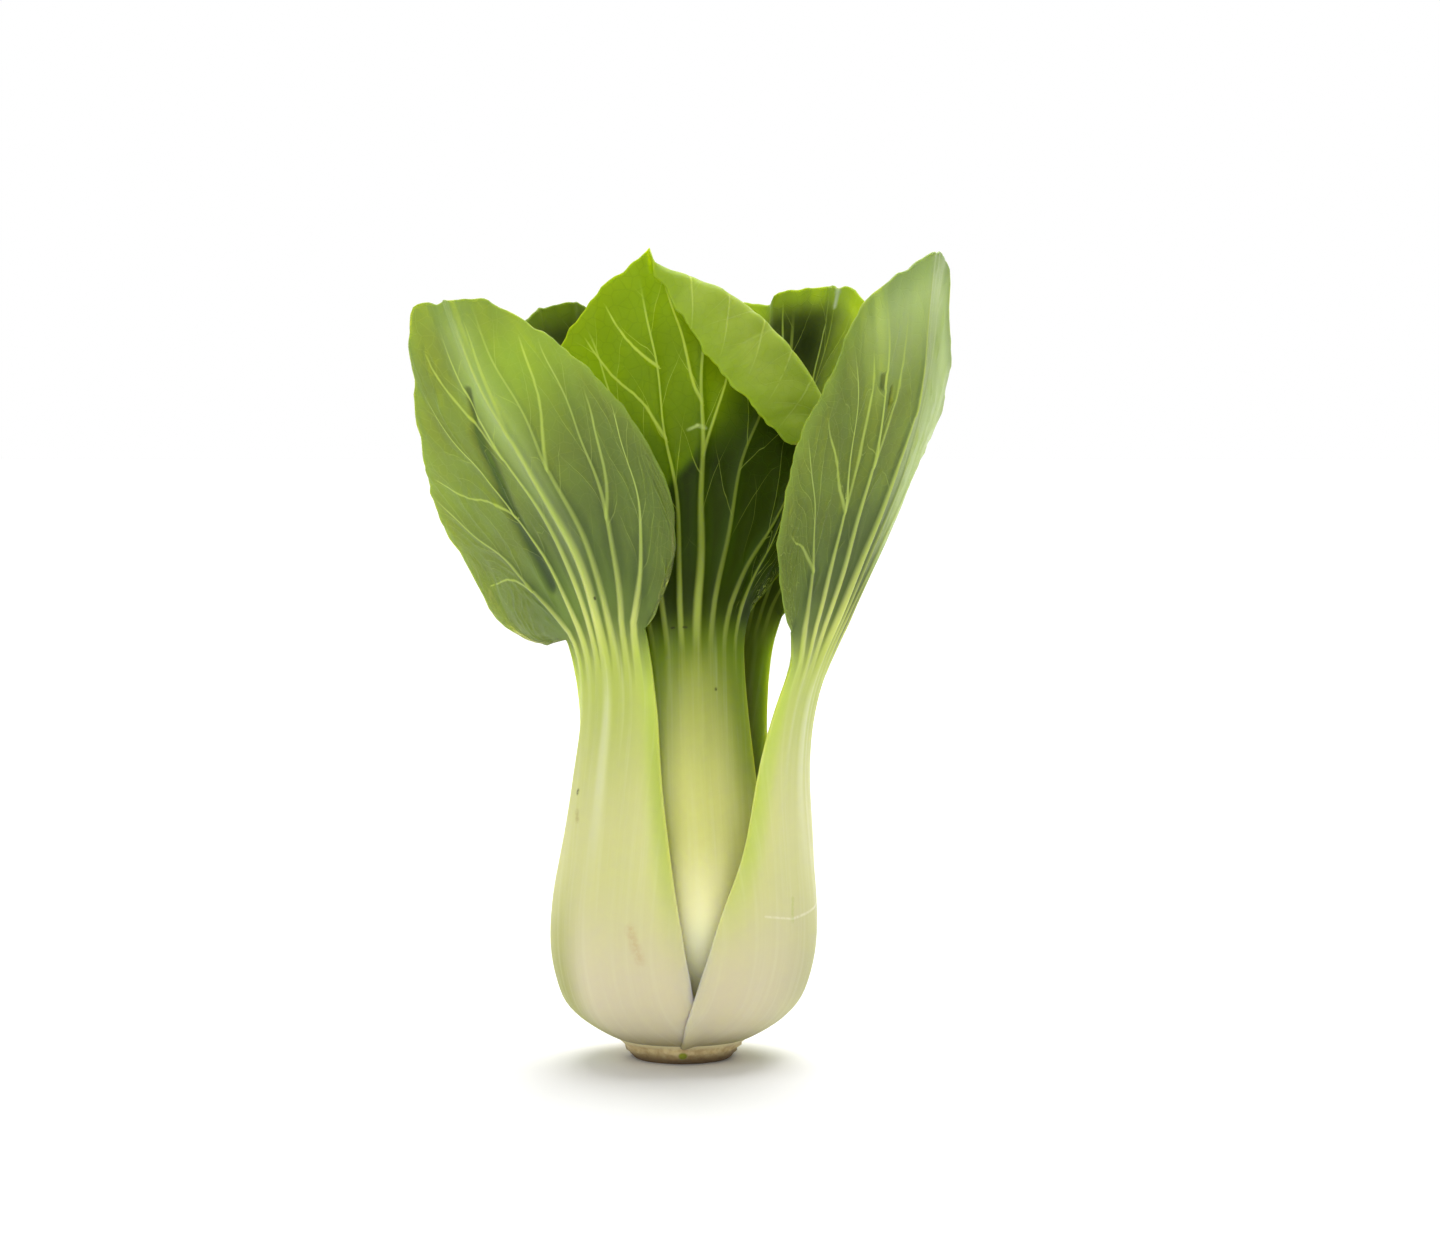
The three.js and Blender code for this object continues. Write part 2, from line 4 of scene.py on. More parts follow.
import bpy
import numpy as np
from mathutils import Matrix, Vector


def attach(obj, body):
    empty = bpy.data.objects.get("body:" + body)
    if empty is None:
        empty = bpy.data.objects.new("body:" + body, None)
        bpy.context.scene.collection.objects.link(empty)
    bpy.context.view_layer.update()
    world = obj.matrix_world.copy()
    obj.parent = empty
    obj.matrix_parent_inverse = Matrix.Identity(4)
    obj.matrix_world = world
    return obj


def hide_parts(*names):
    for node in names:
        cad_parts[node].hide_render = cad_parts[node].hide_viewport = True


# A head of bok choy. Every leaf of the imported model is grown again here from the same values, with a
# fine surface, veins and living colours.
# Leaves are worked out in millimetres and turned into metres when their mesh is made.
#   u   runs across a leaf from -1 to 1        q   runs up it: 0 to 1 is the stalk, 1 to 2 the blade
#   off is the height above the leaf's outer face

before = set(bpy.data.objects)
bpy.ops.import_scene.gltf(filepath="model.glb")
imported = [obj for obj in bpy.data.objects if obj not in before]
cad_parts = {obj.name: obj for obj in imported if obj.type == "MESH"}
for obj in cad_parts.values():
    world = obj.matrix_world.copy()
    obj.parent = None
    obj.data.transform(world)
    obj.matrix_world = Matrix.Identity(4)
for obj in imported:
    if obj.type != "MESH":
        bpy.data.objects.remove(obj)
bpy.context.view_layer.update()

MM = 0.001
UP = np.array([0.0, 0.0, 1.0])
BULB_RADIUS = 31.8
CUT_RADIUS = 11.4
RIB_STEP = 0.25           # a rib at every quarter of a leaf's half width

# ---- the leaves ---------------------------------------------------------------------------------

# The middle line of the outer face where each ring of leaves leaves the base: (out, sideways, up).
OUTER_RING = [(13.2, 0, 4.4), (16.8, 0, 5.4), (23.2, 0, 9.2), (27.8, 0, 14), (30.3, 0, 20),
              (BULB_RADIUS, 0, 28)]
MIDDLE_RING = [(9.2, 0, 12), (12.4, 0, 14.2), (18.2, 0, 20), (22.2, 0, 28), (24.3, 0, 38)]
INNER_RING = [(5.6, 0, 17.6), (8, 0, 19.8), (12.6, 0, 25.4), (16.2, 0, 33), (18, 0, 42)]
HEART_RING = [(3, 0, 21.6), (4.8, 0, 24.6), (8.6, 0, 31), (11, 0, 40), (11.8, 0, 50)]

# Thickness at the middle of the stalk: (share of the stalk, mm).
OUTER_FLESH = [(0, 5.5), (0.3, 7), (0.6, 5.5), (1, 3.4)]
MIDDLE_FLESH = [(0, 4.5), (0.3, 5.6), (0.6, 4.6), (1, 3)]
INNER_FLESH = [(0, 3.4), (0.3, 4.4), (0.6, 3.6), (1, 2.4)]
HEART_FLESH = [(0, 2.2), (0.35, 3.4), (0.7, 2.8), (1, 2)]
MIDDLE_WIDTH = [(0, 8), (0.08, 12.5), (0.18, 17), (0.36, 19), (0.62, 15), (0.82, 11), (0.93, 10.6),
                (1, 12.5)]
LEVEL = [(0, 0), (1, 0)]

# Each leaf, in mm and degrees:
#   grid     steps across, steps up the stalk, steps up the blade
#   azimuth  where it stands round the head: 0 is the front, 90 the +X side
#   stalk    length of the stalk, measured along its outer face
#   ring, spine        the middle line of the outer face, low down and on up: (out, sideways, up)
#   width    half width of the stalk: (share of the stalk, mm)
#   centre   the blade's outline is drawn round a point this far above the stalk's top
#   outline  (bearing round that point, distance to the margin)
#   ribs     bearings where the ribs meet the margin, from edge to edge
#   flare    how soon the ribs bend outwards, as a share of the way to the margin
#   turn     how far the face turns about its spine: (share of the leaf, degrees)
#   cup      how far the blade is curled round its spine: (share of the blade, 1/mm)
#   crease   how far each half is folded back at the midrib: (share of the leaf, radians)
#   open     the stretch of the stalk over which its round section flattens out
#   rib, wave, phase   height of its ribs and of its waved margin, and a shift of the waves
#   tuck, keel         how far the stalk's sides turn in, and how far its middle swells
#   fold     a shoulder turned over outwards: the middle and radius of its arc, radius and degrees of
#            the turn, the bearings between which it starts, and the bearings of its veins
#   forks    single veins: u and q where one leaves its rib, then where it ends
#    grooves, curls   grooves of the outer face, darkened as painted shade, and painted highlights
#                               on curled edges: half width and points of the flat leaf
#   marks    small blemishes: kind, from and to in the flat leaf, half width
#    painted_sheen   bands of painted sheen: from and to in q, and (u, strength)
#    areas   painted shade (+) and painted glow (-) on areas of the flat leaf: across, along, radius, amount
#    flank   painted shade on one side of the stalk: which side, and from and to in u
#    shaded   painted shade low down: where its edge crosses the middle, its slope, how dark
#    deep, rim   painted shade over the whole blade, and how much less at its margin, which is left lighter as a painted lit rim
# PLAIN holds what most leaves share.
PLAIN = dict(
    ribs=[-156, -95, -52, -20, 0, 20, 52, 95, 156], flare=0.4, turn=LEVEL, crease=LEVEL,
    open=(0.72, 1.12), rib=1.1, tuck=0, keel=0, fold=None, forks=[], grooves=[], curls=[], marks=[],
    painted_sheen=[], areas=[], flank=None, shaded=(0, 0, 0), deep=0, rim=0,
)
OUTER = dict(PLAIN, slot="outer_leaf", grid=(176, 52, 156), ring=OUTER_RING, flesh=OUTER_FLESH,
             tuck=1.5)
MIDDLE = dict(PLAIN, slot="middle_leaf", grid=(152, 46, 156), ring=MIDDLE_RING, flesh=MIDDLE_FLESH)
INNER = dict(PLAIN, slot="inner_leaf", grid=(64, 30, 50), ring=INNER_RING, flesh=INNER_FLESH,
             open=(0.95, 1.5))
HEART = dict(INNER, grid=(48, 24, 36), ring=HEART_RING, flesh=HEART_FLESH)


def mirrored(half):
    return [(-angle, reach) for angle, reach in reversed(half[1:])] + half


def inner_leaf(name, azimuth, top, lean, phase):
    """A half-grown leaf with a small blade, still curled round the middle."""
    return dict(
        INNER, name=name, azimuth=azimuth, stalk=78, centre=24,
        spine=[(17.4, 0, 54), (15, 0, 70), (13.6, 0, 84), (13.2, lean * 0.2, 96), (13.4, lean * 0.6, 110),
               (13.6, lean, 126), (14, lean * 1.2, top)],
        width=[(0, 4.9), (0.1, 8.4), (0.22, 12), (0.4, 13.4), (0.65, 11), (0.85, 8.6), (1, 8)],
        outline=mirrored([(0, 40), (22, 34), (45, 21), (75, 12.5), (105, 12.2), (138, 17.5), (156, 25)]),
        cup=[(0, 0.07), (0.5, 0.05), (1, 0.03)], rib=0.7, wave=0.7, phase=phase,
    )


def heart_leaf(name, azimuth, top, phase):
    """One of the closed pair at the growing point."""
    return dict(
        HEART, name=name, azimuth=azimuth, stalk=52, centre=15,
        spine=[(11.2, 0, 62), (9.6, 0, 74), (8.6, 0, 86), (8, 0, 98), (7.4, 0, top)],
        width=[(0, 3.6), (0.2, 7), (0.45, 9.5), (0.7, 8), (1, 6)],
        outline=mirrored([(0, 15.5), (25, 14), (50, 11.5), (80, 10), (110, 10.5), (138, 12.5), (156, 16)]),
        cup=[(0, 0.1), (0.5, 0.08), (1, 0.06)], rib=0.4, wave=0.4, phase=phase,
    )


LEAVES = [SimpleNamespace(**values) for values in (
    dict(
        OUTER, name="leaf_front_left", azimuth=-42, stalk=106, centre=38,
        spine=[(31.6, 0, 38), (30, 0, 50), (26.6, -1, 68), (24.2, -1.2, 86), (25.4, -2.2, 101),
               (31.5, -6, 121), (42, -13, 142), (51, -20, 161), (57, -24.5, 181)],
        width=[(0, 10.9), (0.035, 13.9), (0.11, 19.6), (0.17, 23), (0.23, 24.7), (0.31, 24.2),
               (0.4, 22.5), (0.52, 19.4), (0.69, 15.4), (0.86, 12.7), (1, 12.3)],
        outline=[(-156, 41.5), (-149, 45.5), (-136, 51.5), (-128, 51.8), (-118, 46), (-103, 38.5),
                 (-84, 34.5), (-55, 31.5), (-40, 33), (-27, 36.5), (-16, 43), (-9, 49), (-2, 47),
                 (12, 46.5), (22, 42.5), (40, 35.5), (60, 31), (95, 29.8), (115, 32), (130, 34.2),
                 (146, 35.8), (156, 38.6)],
        ribs=[-156, -74, -23, -4, 3, 10, 31, 68, 156], flare=0.72,
        turn=[(0, 0), (0.5, 0), (0.65, 4), (1, 10)], cup=[(0, 0.006), (0.5, 0.004), (1, 0.003)],
        crease=[(0, 0), (0.5, 0), (0.62, 0.1), (0.8, 0.15), (1, 0.1)], wave=1, phase=0.4,
        forks=[(-0.5, 1.45, -0.7, 1.95), (-0.75, 1.3, -0.88, 1.85), (0, 1.6, 0.13, 1.95),
               (0.25, 1.48, 0.42, 1.93), (0.5, 1.35, 0.64, 1.85), (-0.25, 1.55, -0.38, 1.9)],
        # grooves, dark with painted shade
        grooves=[(3, [(-11.6, 120), (-12.2, 132), (-11, 142), (-9.2, 149), (-8.2, 155), (-6.8, 161.5)]),
                 (1.5, [(-6.8, 161.5), (-4.4, 166.1), (-2.4, 170.6)])],
        marks=[("speck", (-8.4, 69.5), (-8.2, 70), 0.6), ("smudge", (-8, 65.2), (-7.6, 63.3), 0.9),
               ("bruise", (11.4, 38.7), (13.8, 31.9), 1.6), ("speck", (1.7, 114.7), (1.7, 115.1), 0.3)],
        # a band of painted sheen along the middle of the blade
        painted_sheen=[(1, 1.35, [(-1, 0), (-0.35, 0), (-0.14, 0.35), (0, 0.42), (0.14, 0.2), (0.3, 0), (1, 0)])],
        # painted glow and painted shade on areas of the blade
        areas=[(13, 171, 15, -0.45), (24, 138, 16, 0.08), (-22, 150, 10, -0.12),
               (-10, 116, 9, -0.35), (5, 116, 8, -0.2)],
        # painted shade on one side of the stalk
        flank=(-1, 0, 0.6),
    ),
    dict(
        OUTER, name="leaf_front_right", azimuth=66, stalk=106, centre=40,
        spine=[(31.8, 0, 38), (30.9, 0, 50), (30.4, -1, 68), (32.6, -2, 84), (37.2, -2, 98),
               (45.5, -1, 118), (53.5, 0, 139), (58.5, 1, 160), (60.5, 2, 189)],
        width=[(0, 13.5), (0.035, 17.1), (0.11, 24.2), (0.17, 28.6), (0.23, 30.6), (0.31, 29.6),
               (0.4, 26.4), (0.52, 20.5), (0.69, 14.8), (0.86, 12), (0.94, 12.2), (1, 15)],
        outline=[(-157, 42.3), (-149, 39.2), (-134, 34), (-119, 30), (-100, 28.3), (-80, 28.5), (-60, 30),
                 (-48, 33), (-37, 36), (-28, 40.5), (-19, 44.5), (-4, 49.3), (3, 52), (16, 53.5),
                 (20, 51.5), (26, 43), (40, 37), (60, 34), (90, 32), (120, 33.5), (143, 38), (157, 42.3)],
        ribs=[-157, -76, -31, -17, 2, 14, 48, 95, 157], flare=0.2,
        turn=[(0, 0), (0.5, 0), (0.65, -8), (1, -14)], cup=[(0, 0.02), (0.5, 0.012), (1, 0.008)],
        crease=[(0, 0), (0.5, 0), (0.62, 0.15), (0.8, 0.2), (1, 0.1)], wave=1, phase=2.4,
        forks=[(-0.5, 1.4, -0.36, 1.85), (-0.5, 1.4, -0.66, 1.88), (-0.25, 1.5, -0.12, 1.9),
               (-0.75, 1.3, -0.88, 1.8), (0, 1.6, 0.12, 1.93)],
        grooves=[(1.1, [(-10.3, 168.9), (-10, 166)]), (0.7, [(-7.5, 166.5), (-7.2, 162.5)])],
        marks=[("crack", (-16.1, 41.2), (-6.8, 39.8), 0.35), ("crack", (-6.8, 39.8), (10.6, 41.6), 0.4),
               ("graze", (-6.4, 44.3), (-6.8, 39.4), 0.8)],
        # bands of painted sheen, mostly on the right of the blade
        painted_sheen=[(1.15, 1.6, [(-1, 0), (-0.25, 0), (0, 0.14), (0.25, 0.55), (0.5, 0.95), (1, 1)]),
              (1.6, 1.95, [(-1, 0), (-0.6, 0), (-0.4, 0.3), (-0.2, 0.6), (0, 0.75), (0.5, 1), (1, 1)])],
        # painted shade on areas of the blade
        areas=[(-12, 128, 12, 0.15), (-9, 148, 9, 0.12), (-24, 158, 9, 0.12)],
        # painted shade on one side of the stalk
        flank=(1, -0.6, 0.6),
    ),
    dict(
        OUTER, name="leaf_back", azimuth=197.5, stalk=103, centre=40,
        spine=[(31.8, 0, 38), (30.6, 0, 50), (27.6, 0, 68), (26.4, 0, 84), (28.4, 0, 98), (35.5, 0, 118),
               (44, 0, 138), (50, 0, 156), (54, 0, 173)],
        width=[(0, 16), (0.035, 20.4), (0.11, 28.9), (0.17, 34), (0.23, 36.4), (0.31, 36.8), (0.4, 34),
               (0.52, 28.5), (0.69, 20), (0.86, 14), (0.94, 12.8), (1, 15)],
        outline=mirrored([(0, 42), (30, 40), (60, 35), (90, 34), (120, 36.5), (142, 41), (157, 43)]),
        cup=[(0, 0.012), (0.5, 0.006), (1, 0.004)], wave=1.5, phase=3,
    ),
    dict(
        MIDDLE, name="leaf_front_centre", azimuth=12, stalk=99.5, centre=44,
        spine=[(23, 0, 54), (20.4, 0, 70), (18.2, 0, 86), (17, 0, 98), (16.6, 0, 110), (16, 0, 126),
               (15, -1, 145), (13, -3, 165), (10, -6, 185)],
        width=[(0, 8), (0.08, 12.5), (0.18, 17), (0.36, 19.5), (0.62, 16.5), (0.82, 14), (0.93, 13.8),
               (1, 15.5)],
        outline=[(-159, 46.5), (-145, 41), (-120, 33.5), (-90, 32), (-60, 35), (-40, 35.5), (-20, 38),
                 (-9, 39.7), (-3.6, 41.2), (2.6, 41.5), (10.6, 43.7), (19, 45.6), (32, 47.8), (45, 49),
                 (60, 49.4), (78, 49.2), (86, 48.4), (90.5, 46), (94.5, 34), (99, 30.5), (108, 30.5),
                 (125, 34), (145, 41), (159, 46.5)],
        ribs=[-159, -80, -36, -9.5, 12, 40, 76, 112, 159], flare=0.28,
        turn=[(0, 0), (0.5, 0), (1, -6)], cup=[(0, 0.01), (0.5, 0.006), (1, 0.004)],
        crease=[(0, 0), (0.5, 0), (0.62, 0.06), (0.8, 0.06), (1, 0)], open=(0.92, 1.2),
        keel=3.2, wave=0.4, phase=1,
        fold=SimpleNamespace(across=-26.8, up=24.4, arc=58.7, radius=2.6, degrees=160, start=(20.2, 23.4),
                  veins=[30, 39, 48, 56, 63, 70]),
        forks=[(-0.25, 1.5, -0.52, 1.95), (-0.25, 1.7, -0.41, 1.96), (0, 1.56, -0.15, 1.93),
               (0, 1.42, 0.12, 1.7), (-0.5, 1.5, -0.66, 1.85)],
        marks=[("speck", (4.5, 82), (4.5, 82.3), 0.4), ("speck", (-5.8, 96.3), (-5.2, 96.4), 0.35),
               ("speck", (-3, 96.5), (-2.4, 96.5), 0.35), ("tear", (-0.3, 142.1), (2, 142.9), 0.5),
               ("tear", (2, 142.9), (3.7, 142.2), 0.6)],
        # painted glow and painted shade on areas of the blade
        areas=[(-22, 158, 12, -0.35), (0, 176, 10, -0.35), (0, 140, 6, 0.25)],
        # painted shade low on the blade
        shaded=(135.2, 0.95, 0.9),
    ),
    dict(
        MIDDLE, name="leaf_back_right", azimuth=133, stalk=97.5, centre=42,
        spine=[(23.4, 0, 54), (20.6, 0, 70), (20.6, 0, 86), (22, 0, 100), (26, 0, 120), (33, 1, 142),
               (38, 2, 162), (41, 3, 180)],
        width=MIDDLE_WIDTH,
        outline=[(-159, 44), (-142, 38), (-120, 33.5), (-90, 33), (-60, 36), (-40, 40), (-28, 41.8),
                 (-18, 40.3), (-8, 39), (3, 38.2), (12, 36.6), (19, 38), (27, 41), (36, 42.3), (46, 39.8),
                 (60, 35.5), (90, 32), (120, 34.5), (142, 40), (159, 44)],
        cup=[(0, 0.02), (0.5, 0.01), (1, 0.006)], wave=1.4, phase=4,
        forks=[(-0.25, 1.4, -0.2, 1.97), (0, 1.4, 0.06, 1.97), (0.25, 1.4, 0.18, 1.97),
               (-0.5, 1.4, -0.38, 1.97)],
        # painted highlights on the curled edges
        curls=[(2.4, [(-15.6, 183), (-15, 180)]), (1.6, [(-15, 180), (-14.2, 176.5)]),
               (1, [(-14.2, 176.5), (-13.6, 173)]), (1.2, [(13.2, 182), (12.6, 179)])],
        # painted shade and painted glow on areas of the blade
        areas=[(-5, 165, 6, 0.2), (-8, 156, 6, 0.2), (-16, 154, 9, -0.5), (-21, 169, 9, -0.5),
               (15, 172, 6, -0.4), (-5, 181, 8, -0.1)],
        # painted shade over the blade, lighter at the margin
        deep=0.8, rim=0.6,
    ),
    dict(
        MIDDLE, name="leaf_back_left", azimuth=250, stalk=97.5, centre=42,
        spine=[(23.4, 0, 54), (20.6, 0, 70), (19.6, 0, 86), (20.4, 0, 100), (24, -3, 120), (28, -7, 142),
               (32, -10, 161), (35, -11.5, 179.5)],
        width=MIDDLE_WIDTH,
        outline=[(-159, 44), (-142, 38), (-120, 32.5), (-90, 29), (-60, 31), (-30, 34), (0, 34.5),
                 (30, 33), (60, 29), (90, 25), (120, 26), (142, 34), (159, 44)],
        turn=[(0, 0), (0.5, 0), (1, -22)], cup=[(0, 0.03), (0.5, 0.022), (1, 0.01)],
        # painted shade over the blade, lighter at the margin
        wave=1.2, phase=5, deep=0.85, rim=0.25,
    ),
    inner_leaf("leaf_inner_right", azimuth=75, top=156, lean=5, phase=1.7),
    inner_leaf("leaf_inner_back", azimuth=192, top=150, lean=1, phase=2.9),
    inner_leaf("leaf_inner_left", azimuth=-54, top=150, lean=-4, phase=0.6),
    heart_leaf("leaf_heart_front", azimuth=20, top=110, phase=1.1),
    heart_leaf("leaf_heart_back", azimuth=200, top=113, phase=2.2),
)]

# ---- small helpers ------------------------------------------------------------------------------


def smooth(start, end, x):
    """0 at the start, 1 at the end and a soft step between them. The end may be the lower one."""
    t = np.clip((x - start) / (end - start), 0, 1)
    return t * t * (3 - 2 * t)


def curve(knots, x):
    """Smooth curve through (x, value) knots, flat past both ends."""
    xs, ys = np.array(knots, float).T
    slopes = np.empty_like(ys)
    slopes[1:-1] = (ys[2:] - ys[:-2]) / (xs[2:] - xs[:-2])
    slopes[0] = (ys[1] - ys[0]) / (xs[1] - xs[0])
    slopes[-1] = (ys[-1] - ys[-2]) / (xs[-1] - xs[-2])
    at = np.clip(x, xs[0], xs[-1])
    i = np.clip(np.searchsorted(xs, at, side="right") - 1, 0, len(xs) - 2)
    step = xs[i + 1] - xs[i]
    t = (at - xs[i]) / step
    return ((2 * t**3 - 3 * t**2 + 1) * ys[i] + (t**3 - 2 * t**2 + t) * step * slopes[i]
            + (3 * t**2 - 2 * t**3) * ys[i + 1] + (t**3 - t**2) * step * slopes[i + 1])


def joined(*parts):
    """Values side by side, one row to a point."""
    return np.stack(parts, axis=-1)


def length(vectors):
    return np.linalg.norm(vectors, axis=-1)


def unit(vectors):
    return vectors / np.maximum(np.linalg.norm(vectors, axis=-1, keepdims=True), 1e-9)


def dot(a, b):
    return (a * b).sum(axis=-1, keepdims=True)


def outward(azimuth):
    """Level direction of an azimuth in degrees."""
    a = np.radians(azimuth)
    return joined(np.sin(a), -np.cos(a), np.zeros_like(a))


def turned(vectors, angle):
    """Vectors turned about +Z, each by its own angle."""
    c, s = np.cos(angle), np.sin(angle)
    x, y, z = vectors.T
    return joined(x * c - y * s, x * s + y * c, z)


def gap_to_line(flat, start, end):
    """From each point to the nearest place on a line between two points, and how far along it is."""
    way = np.subtract(end, start)
    offset = flat - start
    part = np.clip(offset @ way / (way @ way), 0, 1)
    return offset - part[:, None] * way, part


def on_lines(lines, flat):
    """1 in the middle of the lines, each given as its half width and points, and 0 away from them."""
    depth = np.zeros(len(flat))
    for width, points in lines:
        for start, end in zip(points[:-1], points[1:]):
            distance = length(gap_to_line(flat, start, end)[0])
            depth = np.maximum(depth, 1 - smooth(0.15 * width, width, distance))
    return depth


def quads(index, ahead):
    """Faces between each row of points and the next; ahead holds the next point in the same row."""
    return joined(index[:-1], ahead[:-1], ahead[1:], index[1:]).reshape(-1, 4)


# ---- one leaf, from flat to its place -----------------------------------------------------------

EDGE_OVERLAP = 1.7        # how much wider the foot of a stalk is, so that neighbours close up
MEANDER = 0.02            # how far a rib strays sideways in the blade, in u
RAGGED = 0.006            # unevenness of the margin, as a share of its distance
NECK_ROUND = 0.045        # how far in q the turn from the stalk into the blade is rounded off
FOLD_RISE = 7             # how far the fold's arc rises to the margin where it starts, in mm
MIN_WRAP_RADIUS = 2       # the tightest curve that a stalk's foot is bent to, in mm
CREASE_ROUND = 3          # how far from the midrib its crease takes to build up, in mm


class Spine:
    """The line that a leaf grows along, by distance along it."""

    def __init__(self, leaf, samples=240):
        out, side = outward(np.float64(leaf.azimuth)), outward(np.float64(leaf.azimuth + 90))
        away, across, up = np.array(leaf.ring + leaf.spine, float).T[:, :, None]
        knots = away * out + across * side + up * UP
        index = np.arange(len(knots))
        t = np.linspace(0, len(knots) - 1, samples)
        self.points = np.stack([curve(np.stack([index, row], 1), t) for row in knots.T], axis=1)
        steps = length(np.diff(self.points, axis=0))
        self.lengths = np.concatenate([[0], np.cumsum(steps)])
        self.length = self.lengths[-1]
        ends = np.pad(self.points, ((1, 1), (0, 0)), mode="edge")
        self.directions = unit(ends[2:] - ends[:-2])

    def at(self, distance):
        """The points and directions at distances along the line, and straight on past its ends."""
        d = np.clip(distance, 0, self.length)
        point = np.stack([np.interp(d, self.lengths, row) for row in self.points.T], axis=-1)
        direction = unit(np.stack([np.interp(d, self.lengths, row) for row in self.directions.T], -1))
        return point + direction * (distance - d)[:, None], direction


def rib_fan(leaf):
    """(u, degrees) of the ribs: where each one meets the margin."""
    return [(rib * RIB_STEP - 1, angle) for rib, angle in enumerate(leaf.ribs)]


def flat_column(leaf, u, q):
    """(across, along) in the flat leaf: straight up the stalk, and bent out to the margin above it."""
    phase = leaf.phase
    s = np.clip(q - 1, 0, 1)
    stray = np.sin(7 * q + 5 * u + phase) + 0.6 * np.sin(17 * q - 9 * u + 2 * phase)
    u = u + MEANDER * s * (1 - s) * 4 * (1 - u**2) * stray

    width = curve(leaf.width, np.minimum(q, 1)) + EDGE_OVERLAP * smooth(0.24, 0.12, q)
    stalk = joined(u * width, q * leaf.stalk)

    angle = curve(rib_fan(leaf), u)
    a = np.radians(angle)
    ragged = np.sin(19 * a + 3 * phase) + 0.7 * np.sin(33 * a + phase) + 0.5 * np.sin(57 * a)
    reach = curve(leaf.outline, angle) * (1 + RAGGED * ragged)
    start = joined(u * leaf.width[-1][1], np.full_like(u, leaf.stalk))
    margin = joined(reach * np.sin(a), leaf.stalk + leaf.centre + reach * np.cos(a))
    pull = start + (margin - start) * (leaf.flare, 0.5)
    s = s[:, None]
    blade = (1 - s) ** 2 * start + 2 * s * (1 - s) * pull + s * s * margin
    return np.where(q[:, None] <= 1, stalk, blade)


def flat_point(leaf, u, q):
    """(across, along) in the flat leaf, with the turn from stalk to blade rounded off."""
    far = np.abs(q - 1) > 3 * NECK_ROUND
    step = 1.2 * NECK_ROUND * np.exp(-(((q - 1) / (1.3 * NECK_ROUND)) ** 2))
    here = flat_column(leaf, u, q)
    mean = (flat_column(leaf, u, q - step) + 2 * here + flat_column(leaf, u, q + step)) / 4
    return np.where(far[:, None], here, mean)


def wave_height(leaf, u, q):
    """A waved margin, dying out towards the ribs."""
    s, phase = np.clip(q - 1, 0, 1), leaf.phase
    long_wave = np.sin(9 * u + phase) + 0.55 * np.sin(17.3 * u + 2.1 * phase + 1.3)
    short_wave = 0.3 * np.sin(31 * u + 3.3 * phase + 0.4) + 0.2 * np.sin(53 * u + phase) * s**3
    return leaf.wave * s**2.2 * (1 - u**8) * (long_wave + short_wave)


def from_fold(leaf, across, along):
    """Where points lie from the middle of the fold's arc, and how far they are past the arc. The
    fold starts at a bearing, and the arc comes down to its full depth over a few degrees."""
    fold = leaf.fold
    dx, dy = across - fold.across, along - leaf.stalk - fold.up
    far = np.maximum(np.hypot(dx, dy), 1e-6)
    bearing = np.degrees(np.arctan2(dx, dy))
    beyond = far - fold.arc - FOLD_RISE * (1 - smooth(*fold.start, bearing))
    return dx, dy, far, np.where(dy > 0, beyond, -1)


def fold_over(leaf, across, along, off):
    """Turns what lies beyond the fold's arc over towards the outer side of the leaf."""
    fold = leaf.fold
    if not fold:
        return across, along, off
    dx, dy, far, beyond = from_fold(leaf, across, along)
    turn = np.clip(beyond / fold.radius, 0, math.radians(fold.degrees))
    rest = beyond - fold.radius * turn
    in_plane = fold.radius * np.sin(turn) + rest * np.cos(turn) - off * np.sin(turn)
    height = fold.radius * (1 - np.cos(turn)) + rest * np.sin(turn)
    reach = (far - beyond + in_plane) / far
    folded = beyond > 0
    return (np.where(folded, fold.across + dx * reach, across),
            np.where(folded, leaf.stalk + fold.up + dy * reach, along),
            np.where(folded, off * np.cos(turn) + height, off))


def bend(leaf, spine, across, along, off):
    """From the flat leaf to its place. Low down all the stalks are parts of one round bulb; higher
    up a leaf has a section of its own, bent round its spine and creased at the midrib."""
    stalk = leaf.stalk
    share = np.clip(along / spine.length, 0, 1)
    point, direction = spine.at(along)
    facing = outward(leaf.azimuth + curve(leaf.turn, share))
    normal = unit(facing - direction * dot(facing, direction))
    side = np.cross(direction, normal)
    radius = np.maximum(np.hypot(point[:, 0], point[:, 1]), MIN_WRAP_RADIUS)
    round_point = turned(point, across / radius)
    round_normal = turned(normal, across / radius)

    start, end = leaf.open
    cup = curve(leaf.cup, np.clip((along - stalk) / (spine.length - stalk), 0, 1))
    bent = 1 / radius + (cup - 1 / radius) * smooth(start * stalk, end * stalk, along)
    distance, hand = np.abs(across), np.sign(across)
    sharp = curve(leaf.crease, share) * (1 - np.exp(-distance / CREASE_ROUND))
    angle = sharp + bent * distance
    sideways = hand * (np.sin(angle) - np.sin(sharp)) / bent
    depth = (np.cos(sharp) - np.cos(angle)) / bent
    own_point = point + side * sideways[:, None] - normal * depth[:, None]
    own_normal = normal * np.cos(angle)[:, None] + side * (hand * np.sin(angle))[:, None]

    own = smooth(0.3 * stalk, 0.6 * stalk, along)[:, None]
    mixed_point = round_point + (own_point - round_point) * own
    mixed_normal = unit(round_normal + (own_normal - round_normal) * own)
    return mixed_point + mixed_normal * off[:, None]


def place(leaf, spine, u, q, off):
    """The points of one face of a leaf, at a height above its outer face."""
    across, along = flat_point(leaf, u, q).T
    folded = fold_over(leaf, across, along, off + wave_height(leaf, u, q))
    return bend(leaf, spine, *folded)


# ---- relief -------------------------------------------------------------------------------------

